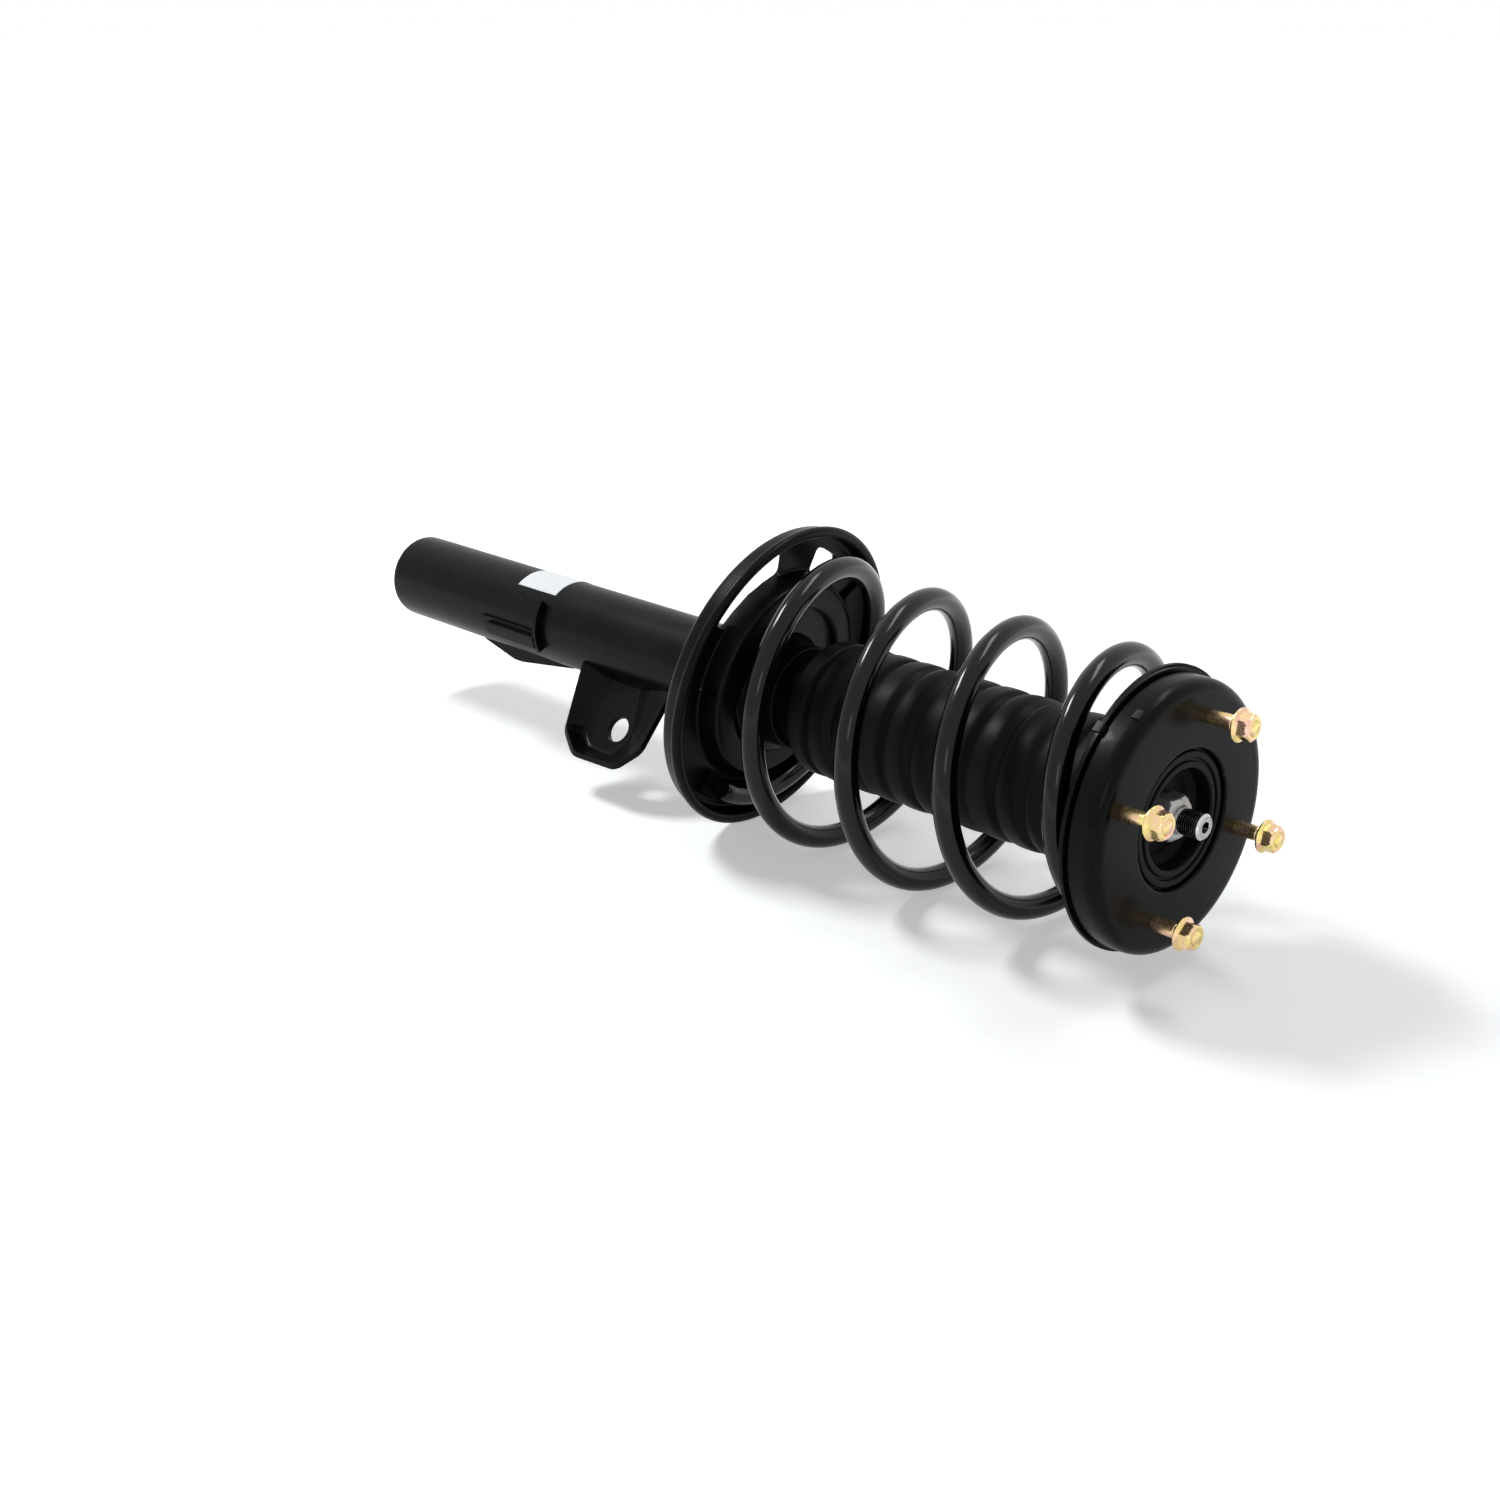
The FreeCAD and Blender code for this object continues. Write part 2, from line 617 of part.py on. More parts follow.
def make_rod_nut():
    body = hexagon(ROD_NUT_AF, ROD_NUT_Z, ROD_NUT_Z + ROD_NUT_T)
    cone = revolved([
        (0, ROD_NUT_Z), (ROD_NUT_AF / 2 + 1.6, ROD_NUT_Z), (ROD_NUT_AF / 2 + 1.6, ROD_NUT_Z + ROD_NUT_T - 1.4),
        (ROD_NUT_AF / 2 - 0.8, ROD_NUT_Z + ROD_NUT_T), (0, ROD_NUT_Z + ROD_NUT_T),
    ])
    body = body.common(cone)
    return one_solid(body.cut(ring(0, THREAD_R + FIT, ROD_NUT_Z - 1, ROD_NUT_Z + ROD_NUT_T + 1)))


def make_stud():
    low = FACE_Z - PLATE_SHEET - STUD_HEAD_T
    tip = NUT_Z + NUT_T + STUD_TIP
    return revolved([
        (0, low), (STUD_HEAD_R, low), (STUD_HEAD_R, FACE_Z - PLATE_SHEET),
        (STUD_KNURL_R, FACE_Z - PLATE_SHEET), (STUD_KNURL_R, FACE_Z + STUD_SHOULDER),
        (STUD_R, FACE_Z + STUD_SHOULDER), (STUD_R, NUT_Z - STUD_RUNOUT),
        (STUD_ROOT_R, NUT_Z - STUD_RUNOUT), (STUD_ROOT_R, tip - 1.2), (STUD_ROOT_R - 1.2, tip), (0, tip),
    ])


def make_flange_nut():
    high = NUT_Z + NUT_T
    body = hexagon(NUT_AF, NUT_Z, high)
    cone = revolved([
        (0, NUT_Z), (NUT_AF / 2 + 1.0, NUT_Z), (NUT_AF / 2 + 1.0, high - 1.6), (NUT_AF / 2 - 0.9, high), (0, high),
    ])
    flange = revolved([
        (0, NUT_Z), (NUT_FLANGE_R, NUT_Z), (NUT_FLANGE_R, NUT_Z + NUT_FLANGE_T * 0.6),
        (NUT_AF / 2 + 0.6, NUT_Z + NUT_FLANGE_T + 0.8), (0, NUT_Z + NUT_FLANGE_T + 0.8),
    ])
    body = body.common(cone).fuse(flange)
    return one_solid(body.cut(ring(0, STUD_ROOT_R + FIT, NUT_Z - 1, high + 1)))


def around_studs(shape):
    """One copy of a piece at each stud."""
    copies = []
    for i in range(STUD_COUNT):
        copy = shape.copy()
        copy.translate(turned(STUD_CIRCLE_R, STUD_TURN + 360.0 * i / STUD_COUNT))
        copies.append(copy)
    return copies


# Bearing and upper spring seat
def make_bearing_upper_race():
    race = ring(RACE_IN_R, RACE_OUT_R, RACE_UP_Z, RACE_UP_TOP)
    shoulder = ring(RECESS_WALL_R + FIT, RACE_IN_R + 1, RACE_UP_TOP - 3.0, RACE_UP_TOP)
    groove = Part.makeTorus(RACE_GROOVE_R, BALL_R + RUN, V(0, 0, RACE_UP_Z - RACE_GAP / 2))
    return one_solid(race.fuse(shoulder).cut(groove))


def make_bearing_lower_race():
    race = ring(RACE_IN_R, RACE_OUT_R, RACE_LOW_Z, RACE_LOW_Z + RACE_T)
    groove = Part.makeTorus(RACE_GROOVE_R, BALL_R + RUN, V(0, 0, RACE_UP_Z - RACE_GAP / 2))
    return one_solid(race.cut(groove))


def make_bearing_balls():
    """Balls joined by their thin cage."""
    middle = RACE_UP_Z - RACE_GAP / 2
    half = RACE_GAP / 2 - 0.3
    cage = ring(RACE_GROOVE_R - 4, RACE_GROOVE_R + 4, middle - half, middle + half)
    balls = [Part.makeSphere(BALL_R, turned(RACE_GROOVE_R, 360.0 * i / BALLS, middle)) for i in range(BALLS)]
    return one_solid(cage.fuse(balls))


def make_upper_spring_seat():
    z = UPPER_SEAT_Z
    s = UPPER_SHEET
    drop = RECESS_WALL_R + SKIRT_GAP
    floor = CUP_LOW_Z - SKIRT_GAP
    collar = UPPER_COLLAR_R
    return revolved([
        (collar - s, UPPER_COLLAR_LOW), (collar, UPPER_COLLAR_LOW), (collar, floor - s), (drop + 1, floor - s),
        (drop + s, floor - s + 2), (drop + s, z), (UPPER_R - 1, z), (UPPER_R, z + 1), (UPPER_R, z + s),
        (drop, z + s), (drop, floor), (collar - s, floor),
    ])


def make_upper_spring_pad():
    top = UPPER_SEAT_Z
    middle = COIL_TOP_R - COIL_CLOSE
    pad = ring(middle - PAD_HALF, middle + PAD_HALF, top - UPPER_PAD_T, top)
    pad.translate(V(TOP_UP, TOP_SIDE, 0))
    return pad


# Brackets, tab and label
def bracket_frame(shape):
    """From (depth toward the viewer, outward, along the tube) to the strut's frame."""
    out = turned(1, BRACKET_TURN)
    depth = turned(1, BRACKET_TURN - 90.0)
    turn = FreeCAD.Rotation(depth, out, V(0, 0, 1), "ZXY")
    shape.Placement = FreeCAD.Placement(V(0, 0, 0), turn)
    return shape


def inset(points, amount):
    """Outline moved inward by the sheet, its tube side left open."""
    centre_z = sum(p[0] for p in points) / len(points)
    top = max(p[1] for p in points)
    low = min(p[1] for p in points)
    moved = []
    for z, out in points:
        side = -1.0 if z > centre_z else 1.0
        if out > low + 1:
            share = (out - amount - low) / (top - low)
            moved.append((z + side * amount * 1.05, low + share * (top - low)))
        else:
            moved.append((z + side * amount * 1.05, out - 6.0))
    return moved


def bracket_outline(points, depth, radius):
    """Closed outline with round corners, but for its two ends at the tube."""
    corners = [V(depth, out, z) for z, out in points]
    edges = []
    last = corners[0]
    for i in range(1, len(corners) - 1):
        back = (corners[i - 1] - corners[i]).normalize()
        ahead = (corners[i + 1] - corners[i]).normalize()
        half = back.getAngle(ahead) / 2
        start = corners[i] + back * (radius / math.tan(half))
        end = corners[i] + ahead * (radius / math.tan(half))
        inward = (back + ahead).normalize()
        middle = corners[i] + inward * (radius / math.sin(half) - radius)
        edges += [Part.makeLine(last, start), Part.Arc(start, middle, end).toShape()]
        last = end
    edges += [Part.makeLine(last, corners[-1]), Part.makeLine(corners[-1], corners[0])]
    return Part.Wire(edges)


def make_stabilizer_bracket():
    sheet = BRACKET_SHEET
    deep = BRACKET_DEEP
    inner_round = BRACKET_ROUND - sheet
    outer = Part.makeLoft([bracket_outline(BRACKET_FLOOR, 0, BRACKET_ROUND),
                           bracket_outline(BRACKET_MOUTH, deep, BRACKET_ROUND)], True, True)
    share = sheet / deep
    raised = [(a[0] + (b[0] - a[0]) * share, a[1] + (b[1] - a[1]) * share)
              for a, b in zip(BRACKET_FLOOR, BRACKET_MOUTH)]
    over = [(a[0] + (b[0] - a[0]) * 1.1, a[1] + (b[1] - a[1]) * 1.1)
            for a, b in zip(BRACKET_FLOOR, BRACKET_MOUTH)]
    inner = Part.makeLoft([bracket_outline(inset(raised, sheet), sheet, inner_round),
                           bracket_outline(inset(over, sheet), deep * 1.1, inner_round)], True, True)
    tray = outer.cut(inner)
    hole = Part.makeCylinder(BRACKET_HOLE_R, 4 * sheet, V(-sheet, BRACKET_HOLE_OUT, BRACKET_HOLE_Z), V(1, 0, 0))
    tray = bracket_frame(tray.cut(hole))
    tray = tray.cut(ring(0, TUBE_R + FIT, 150, 340))
    return one_solid(max(tray.Solids, key=lambda s: s.Volume))


def make_hose_bracket():
    base = ring(TUBE_R + FIT, TUBE_R + FIT + HOSE_SHEET, HOSE_Z, HOSE_Z + HOSE_LEN)
    raised = ring(TUBE_R + FIT, TUBE_R + FIT + HOSE_SHEET + HOSE_STEP, HOSE_Z + 8, HOSE_Z + HOSE_LEN)
    half = math.degrees(HOSE_WIDE / 2 / TUBE_R)
    keep = sector(TUBE_R - 5, TUBE_R + 20, HOSE_Z, HOSE_Z + HOSE_LEN, HOSE_TURN - half, HOSE_TURN + half)
    inner_keep = sector(TUBE_R - 5, TUBE_R + 20, HOSE_Z, HOSE_Z + HOSE_LEN, HOSE_TURN - half * 0.6, HOSE_TURN + half * 0.6)
    strip = base.common(keep).fuse(raised.common(inner_keep))
    blade_half = math.degrees(BLADE_WIDE / 2 / TUBE_R)
    top = HOSE_Z + HOSE_LEN
    blade = sector(TUBE_R + FIT, TUBE_R + BLADE_HIGH, top, top + HOSE_SHEET * 1.5,
                   BLADE_TURN - blade_half, HOSE_TURN + half)
    return one_solid(strip.fuse(blade))


def make_locating_tab():
    low, peak, high = TAB_Z
    base = TUBE_R - 2
    face = Part.Face(polygon([
        V(base, -TAB_SHEET / 2, low), V(TUBE_R + 1.5, -TAB_SHEET / 2, low), V(TUBE_R + TAB_OUT, -TAB_SHEET / 2, peak - 4),
        V(TUBE_R + TAB_OUT, -TAB_SHEET / 2, peak + 4), V(TUBE_R + 1.5, -TAB_SHEET / 2, high), V(base, -TAB_SHEET / 2, high),
    ]))
    tab = face.extrude(V(0, TAB_SHEET, 0))
    tab.rotate(V(0, 0, 0), V(0, 0, 1), TAB_TURN)
    return one_solid(tab.cut(ring(0, TUBE_R + FIT, low - 5, high + 5)))


def make_label():
    low, high = LABEL_Z
    return sector(TUBE_R + FIT, TUBE_R + FIT + LABEL_T, low, high, LABEL_TURN[0], LABEL_TURN[1])


# Laying the strut down
def lowest_point(shape_points, tilt):
    """Least height of some points when the strut lies with its mount raised by tilt."""
    return min(p.x * math.cos(tilt) + p.z * math.sin(tilt) for p in shape_points)


def resting_tilt():
    """Angle at which the seat's rim and the coil's loops touch the floor together."""
    place = seat_placement()
    rim_r = SEAT_RIM_R - SEAT_LIP_R
    rim = [place.multVec(turned(rim_r, a)) for a in range(360)]
    coil = [coil_point(1.0 + i * 0.01) for i in range(220)]
    low, high = math.radians(-6), math.radians(6)
    for _ in range(60):
        middle = (low + high) / 2
        rim_height = lowest_point(rim, middle) - SEAT_LIP_R
        coil_height = lowest_point(coil, middle) - WIRE_R
        if coil_height > rim_height:
            high = middle
        else:
            low = middle
    return (low + high) / 2


def lying_placement(tilt):
    """Strut axis along +X with its mount end raised, the strut's X up, and its Y toward -Y."""
    axis = V(math.cos(tilt), 0, math.sin(tilt))
    up = V(-math.sin(tilt), 0, math.cos(tilt))
    toward_viewer = V(0, -1, 0)
    turn = FreeCAD.Rotation(up, toward_viewer, axis, "ZXY")
    return FreeCAD.Placement(V(0, 0, 0), turn)


def build():
    shapes = {
        "outer_tube": make_outer_tube(),
        "base_valve": make_base_valve(),
        "pressure_tube": make_pressure_tube(),
        "rod_guide": make_rod_guide(),
        "rod_seal": make_rod_seal(),
        "gland_cap": make_gland_cap(),
        "lower_spring_seat": make_lower_spring_seat(),
        "lower_spring_pad": make_lower_spring_pad(),
        "stabilizer_bracket": make_stabilizer_bracket(),
        "hose_bracket": make_hose_bracket(),
        "locating_tab": make_locating_tab(),
        "label": make_label(),
        "coil_spring": make_coil_spring(),
        "dust_boot": make_dust_boot(),
        "upper_spring_pad": make_upper_spring_pad(),
        "upper_spring_seat": make_upper_spring_seat(),
        "bearing_lower_race": make_bearing_lower_race(),
        "bearing_balls": make_bearing_balls(),
        "bearing_upper_race": make_bearing_upper_race(),
        "mount_plate": make_mount_plate(),
        "mount_rubber": make_mount_rubber(),
        "inner_sleeve": make_inner_sleeve(),
        "rod_nut": make_rod_nut(),
        "bump_washer": make_bump_washer(),
        "bump_stop": make_bump_stop(),
        "piston_rod": make_piston_rod(),
        "rebound_stop": make_rebound_stop(),
        "piston": make_piston(),
        "piston_band": make_piston_band(),
        "piston_nut": make_piston_nut(),
    }
    for i, stud in enumerate(around_studs(make_stud())):
        shapes[f"stud_{i + 1}"] = stud
    for i, nut in enumerate(around_studs(make_flange_nut())):
        shapes[f"flange_nut_{i + 1}"] = nut
    return shapes


def main():
    os.makedirs("parts", exist_ok=True)
    print("least gap of the spring wire to itself, mm:", round(coil_gap(), 2))
    tilt = resting_tilt()
    lying = lying_placement(tilt)
    shapes = build()
    whole = FreeCAD.BoundBox()
    laid = {}
    for node, shape in shapes.items():
        copy = shape.copy()
        copy.Placement = lying.multiply(copy.Placement)
        laid[node] = copy
        whole.add(copy.optimalBoundingBox(False, False))
    shift = V(-(whole.XMin + whole.XMax) / 2, -(whole.YMin + whole.YMax) / 2, -whole.ZMin)
    for node, shape in laid.items():
        shape.translate(shift)
        if not shape.isValid():
            print("not valid:", node)
        if len(shape.Solids) != 1:
            print("solids:", node, len(shape.Solids))
        shape.exportStep(f"parts/{node}.step")
    print("tilt, degrees:", round(math.degrees(tilt), 4))
    print("size, mm:", round(whole.XLength, 3), round(whole.YLength, 3), round(whole.ZLength, 3))
    origin = lying.multVec(V(0, 0, 0)) + shift
    print("tube end centre:", [round(c, 4) for c in origin])


main()
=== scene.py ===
"""Renders a suspension strut that lies on a pale studio floor.

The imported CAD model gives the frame, the joints and the hidden pieces. The pieces that show are
modelled here again with rounded edges, threads and rolled lips, and each one rides on the body of
the CAD piece that it stands for. All sizes are in millimetres in the strut's own frame: Z runs
along the damper from the closed end of the tube to the top mount, X points up as the strut lies
and Y points to the viewer.
"""

from __future__ import annotations

import json
import logging
import math
from dataclasses import dataclass
from enum import Enum
from typing import Callable, Iterable, Sequence

import bmesh
import bpy
import numpy as np
from mathutils import Matrix, Vector

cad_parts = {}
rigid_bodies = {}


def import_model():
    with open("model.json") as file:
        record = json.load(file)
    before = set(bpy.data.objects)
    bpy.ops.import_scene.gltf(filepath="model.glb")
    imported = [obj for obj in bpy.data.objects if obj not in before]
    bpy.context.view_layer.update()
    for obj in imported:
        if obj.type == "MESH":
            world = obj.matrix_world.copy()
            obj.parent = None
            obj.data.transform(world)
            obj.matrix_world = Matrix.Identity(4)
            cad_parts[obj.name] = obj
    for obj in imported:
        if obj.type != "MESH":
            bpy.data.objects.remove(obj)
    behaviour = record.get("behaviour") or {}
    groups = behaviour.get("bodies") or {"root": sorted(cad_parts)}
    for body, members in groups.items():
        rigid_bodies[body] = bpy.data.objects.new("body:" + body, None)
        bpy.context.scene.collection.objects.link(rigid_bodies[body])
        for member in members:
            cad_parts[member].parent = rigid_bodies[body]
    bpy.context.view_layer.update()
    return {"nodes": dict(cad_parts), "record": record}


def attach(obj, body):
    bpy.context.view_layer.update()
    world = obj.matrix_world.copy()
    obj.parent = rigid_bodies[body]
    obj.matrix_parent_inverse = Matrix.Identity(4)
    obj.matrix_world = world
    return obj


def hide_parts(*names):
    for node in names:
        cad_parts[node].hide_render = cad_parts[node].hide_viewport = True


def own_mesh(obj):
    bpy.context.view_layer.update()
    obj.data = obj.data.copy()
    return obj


LOG = logging.getLogger("strut_scene")
MM = 0.001
Profile = list[tuple[float, float]]
RadiusRule = Callable[[np.ndarray, np.ndarray, np.ndarray], np.ndarray]


class Body(str, Enum):
    """Rigid bodies of the CAD model that pieces ride on."""

    STRUT = "strut_body"
    UPPER = "upper_seat"
    TOP = "top_mount"


class Finish(Enum):
    """Surface finishes, each with the material slot of the record that it belongs to."""

    SATIN_PAINT = "satin_black_paint"
    GLOSS_PAINT = "gloss_black_paint"
    RUBBER = "black_rubber"
    FOAM = "bump_foam"
    STEEL = "bright_steel"
    CHROME = "hard_chrome"
    PLASTIC = "bearing_plastic"
    LABEL = "white_label"
    ZINC = "yellow_zinc"


@dataclass(frozen=True)
class Paint:
    """A coating or plain skin with a cloudy tone, fine bumps and dust.

    The tones are linear, grain is in cells per metre and bump in millimetres. A warmth above 0 leans
    to red. A sheen of 0.5 is the plain reflection of common plastics.
    """

    dark: float
    light: float
    rough: tuple[float, float]
    grain: float
    bump: float
    dust: float
    coat: float = 0.0
    warmth: float = 0.0
    sheen: float = 0.2


@dataclass(frozen=True)
class Metal:
    """A metal with two mixed tones and fine bumps, bare where the share is 1."""

    first: tuple[float, float, float]
    second: tuple[float, float, float]
    rough: tuple[float, float]
    grain: float
    bump: float
    bare: float = 1.0


LOOKS: dict[Finish, Paint | Metal] = {
    Finish.SATIN_PAINT: Paint(
        dark=0.0022, light=0.0048, rough=(0.27, 0.36), grain=950.0, bump=0.016, dust=0.32, coat=0.04,
        warmth=-0.14, sheen=0.06),
    Finish.GLOSS_PAINT: Paint(
        dark=0.0012, light=0.0028, rough=(0.16, 0.22), grain=420.0, bump=0.008, dust=0.05, coat=0.30,
        warmth=-0.15, sheen=0.10),
    Finish.RUBBER: Paint(
        dark=0.0028, light=0.0060, rough=(0.40, 0.50), grain=1500.0, bump=0.02, dust=0.10, warmth=-0.16,
        sheen=0.07),
    Finish.FOAM: Paint(
        dark=0.25, light=0.34, rough=(0.7, 0.85), grain=900.0, bump=0.08, dust=0.1, warmth=0.25),
    Finish.PLASTIC: Paint(
        dark=0.004, light=0.008, rough=(0.36, 0.46), grain=1200.0, bump=0.015, dust=0.12, warmth=-0.10),
    Finish.LABEL: Paint(dark=0.80, light=0.86, rough=(0.42, 0.50), grain=800.0, bump=0.01, dust=0.08),
    Finish.STEEL: Metal(
        first=(0.34, 0.34, 0.34), second=(0.48 * 1.02, 0.48, 0.48 * 0.98), rough=(0.34, 0.46),
        grain=1400.0, bump=0.01, bare=0.7),
    Finish.CHROME: Metal(
        first=(0.55, 0.55, 0.55), second=(0.62, 0.62, 0.62), rough=(0.08, 0.14), grain=1400.0, bump=0.003),
    Finish.ZINC: Metal(
        first=(0.86, 0.72, 0.24), second=(0.88, 0.56, 0.42), rough=(0.22, 0.34), grain=1100.0, bump=0.012),
}


def smooth_step(x: np.ndarray | float) -> np.ndarray | float:
    """Rises from 0 to 1 with level ends.

    Args:
        x: Position, 0 to 1 over the rise.

    Returns:
        The height at that position.
    """
    x = np.clip(x, 0.0, 1.0)
    return x * x * (3.0 - 2.0 * x)


def smooth_area(x: np.ndarray) -> np.ndarray:
    """Area under smooth_step from 0 to x.

    Args:
        x: Upper limit.

    Returns:
        The area, which grows in step with x past 1.
    """
    inside = np.clip(x, 0.0, 1.0)
    return inside**3 - 0.5 * inside**4 + np.maximum(x - 1.0, 0.0)


def rounded(corners: Sequence[tuple[float, float, float]], steps: int = 6) -> Profile:
    """Open outline with its corners rounded.

    Args:
        corners: Radius, height and rounding of each corner, in order.
        steps: Points on each rounding.

    Returns:
        The outline's points.
    """
    points: Profile = [corners[0][:2]]
    for before, here, after in zip(corners, corners[1:], corners[2:]):
        p, a, b = np.array(here[:2]), np.array(before[:2]), np.array(after[:2])
        back, ahead = a - p, b - p
        back_len, ahead_len = np.linalg.norm(back), np.linalg.norm(ahead)
        back, ahead = back / back_len, ahead / ahead_len
        half = math.acos(float(np.clip(back @ ahead, -1, 1))) / 2
        reach = here[2] / max(math.tan(half), 1e-6)
        reach = min(reach, 0.49 * back_len, 0.49 * ahead_len)
        if here[2] <= 0 or half > 1.55:
            points.append((float(p[0]), float(p[1])))
            continue
        start, end = p + back * reach, p + ahead * reach
        for i in range(steps + 1):
            t = i / steps
            q = (1 - t) ** 2 * start + 2 * t * (1 - t) * p + t * t * end
            points.append((float(q[0]), float(q[1])))
    points.append(corners[-1][:2])
    return points


@dataclass
class Surface:
    """A mesh as arrays, in the strut's frame and in millimetres."""

    points: np.ndarray
    faces: list[tuple[int, ...]]

    @classmethod
    def grid(cls, points: np.ndarray, wrap_rows: bool = False, wrap_columns: bool = True) -> "Surface":
        """Quads over a grid of points.

        Args:
            points: Array of rows, columns and 3 coordinates.
            wrap_rows: Joins the last row to the first.
            wrap_columns: Joins the last column to the first.

        Returns:
            The surface.
        """
        rows, columns = points.shape[:2]
        row, column = np.indices((rows - (not wrap_rows), columns - (not wrap_columns)))
        here, there = row * columns, (row + 1) % rows * columns
        beside = (column + 1) % columns
        quads = np.stack([here + column, here + beside, there + beside, there + column], axis=-1)
        return cls(points.reshape(-1, 3), [tuple(quad) for quad in quads.reshape(-1, 4).tolist()])

    @classmethod
    def turned(cls, profile: Profile, segments: int = 96, closed: bool = False,
               radius_of: RadiusRule | None = None) -> "Surface":
        """Surface of revolution about the strut's axis.

        Args:
            profile: Radius and height of each ring.
            segments: Points on each ring.
            closed: Joins the profile's last ring to its first.
            radius_of: Changes the radius at an angle and height, given (radius, angle, height).

        Returns:
            The surface.
        """
        outline = np.array(profile, float)
        angle = np.linspace(0, 2 * math.pi, segments, endpoint=False)
        radius = np.repeat(outline[:, :1], segments, axis=1)
        height = np.repeat(outline[:, 1:2], segments, axis=1)
        around = np.repeat(angle[None, :], len(outline), axis=0)
        if radius_of is not None:
            radius = radius_of(radius, around, height)
        points = np.stack([radius * np.cos(around), radius * np.sin(around), height], axis=-1)
        surface = cls.grid(points, wrap_rows=closed)
        if not closed:
            surface.cap(0, segments, outline[0, 0] > 1e-6)
            surface.cap(len(outline) - 1, segments, outline[-1, 0] > 1e-6)
        return surface

    def cap(self, row: int, columns: int, wanted: bool) -> None:
        """Closes a row of a grid with one face.

        Args:
            row: The row's number.
            columns: Points in the row.
            wanted: False leaves the row as it is.
        """
        if not wanted:
            return
        ring = [row * columns + j for j in range(columns)]
        self.faces.append(tuple(reversed(ring)) if row == 0 else tuple(ring))

    def moved(self, change: Callable[[np.ndarray], np.ndarray]) -> "Surface":
        """Surface with its points changed.

        Args:
            change: Takes and returns an array of points.

        Returns:
            The changed surface.
        """
        return Surface(change(self.points), self.faces)

    def joined(self, *others: "Surface") -> "Surface":
        """One surface of this one and others.

        Args:
            others: The surfaces to add.

        Returns:
            All of them as one.
        """
        points, faces, count = [self.points], list(self.faces), len(self.points)
        for other in others:
            points.append(other.points)
            faces += [tuple(i + count for i in face) for face in other.faces]
            count += len(other.points)
        return Surface(np.concatenate(points), faces)


class StrutFrame:
    """Takes points from the strut's frame to the row's frame."""

    def __init__(self, record: dict) -> None:
        """Reads the axis and the place of the tube.

        Args:
            record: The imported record.
        """
        joint = next(j for j in record["behaviour"]["joints"] if j["name"] == "strut_stroke")
        clamp = next(m for m in record["mounts"] if m["name"] == "knuckle_clamp")
        self.axis = -np.array(joint["axis"], float)
        self.axis /= np.linalg.norm(self.axis)
        self.side = np.array([0.0, -1.0, 0.0])
        self.up = np.cross(self.side, self.axis)
        self.origin = np.array(clamp["pos_m"], float) - self.axis * Tube.clamp_at * MM
        self.stroke = joint["range_m"][1]

    def world(self, points: np.ndarray) -> np.ndarray:
        """Row frame, in metres, of points of the strut's frame.

        Args:
            points: Array of points in millimetres.

        Returns:
            Array of points in metres.
        """
        points = np.asarray(points, float) * MM
        return self.origin + points @ np.array([self.up, self.side, self.axis])

    def direction(self, way: Sequence[float]) -> Vector:
        """Row frame of a direction of the strut's frame.

        Args:
            way: The direction.

        Returns:
            The same direction in the row frame.
        """
        return Vector(np.asarray(way, float) @ np.array([self.up, self.side, self.axis]))


class NodeTree:
    """Short way to build shader nodes."""

    FINE_SHARE = 0.55

    def __init__(self, tree: bpy.types.NodeTree) -> None:
        """Starts on a tree.

        Args:
            tree: The tree that nodes go into.
        """
        self.tree = tree

    def add(self, kind: str, inputs: dict | None = None, **settings: object) -> bpy.types.Node:
        """Adds a node.

        Args:
            kind: Its type name.
            inputs: Values or sockets by input name.
            settings: Attributes of the node.

        Returns:
            The node.
        """
        node = self.tree.nodes.new(kind)
        for name, value in settings.items():
            setattr(node, name, value)
        for name, value in (inputs or {}).items():
            socket = node.inputs[name]
            if isinstance(value, bpy.types.NodeSocket):
                self.tree.links.new(value, socket)
            else:
                socket.default_value = value
        return node

    def math(self, operation: str, a: object, b: object = 0.0) -> bpy.types.NodeSocket:
        """Adds a math node.

        Args:
            operation: What it does.
            a: First value or socket.
            b: Second value or socket.

        Returns:
            Its result.
        """
        return self.add("ShaderNodeMath", {0: a, 1: b}, operation=operation).outputs[0]

    def spread(self, value: object, low: float, high: float, to_low: float,
               to_high: float) -> bpy.types.NodeSocket:
        """Maps a range onto another one, clamped.

        Args:
            value: The socket to map.
            low: Start of the range.
            high: End of the range.
            to_low: Result at the start.
            to_high: Result at the end.

        Returns:
            The mapped value.
        """
        node = self.add("ShaderNodeMapRange", {"Value": value, "From Min": low, "From Max": high,
                                               "To Min": to_low, "To Max": to_high})
        return node.outputs["Result"]

    def noise(self, where: object, scale: float, detail: float) -> bpy.types.NodeSocket:
        """Adds a noise texture.

        Args:
            where: Coordinates.
            scale: Cells per metre.
            detail: Octaves.

        Returns:
            The noise, 0 to 1.
        """
        node = self.add("ShaderNodeTexNoise", {"Vector": where, "Scale": scale, "Detail": detail,
                                               "Roughness": self.FINE_SHARE})
        return node.outputs["Fac"]

    def blend(self, share: object, first: object, second: object) -> bpy.types.NodeSocket:
        """Mixes two colours.

        Args:
            share: How much of the second shows.
            first: Colour at 0.
            second: Colour at 1.

        Returns:
            The mixed colour.
        """
        node = self.tree.nodes.new("ShaderNodeMix")
        node.data_type = "RGBA"
        for socket, value in ((node.inputs[0], share), (node.inputs[6], first), (node.inputs[7], second)):
            if isinstance(value, bpy.types.NodeSocket):
                self.tree.links.new(value, socket)
            else:
                socket.default_value = value
        return node.outputs[2]


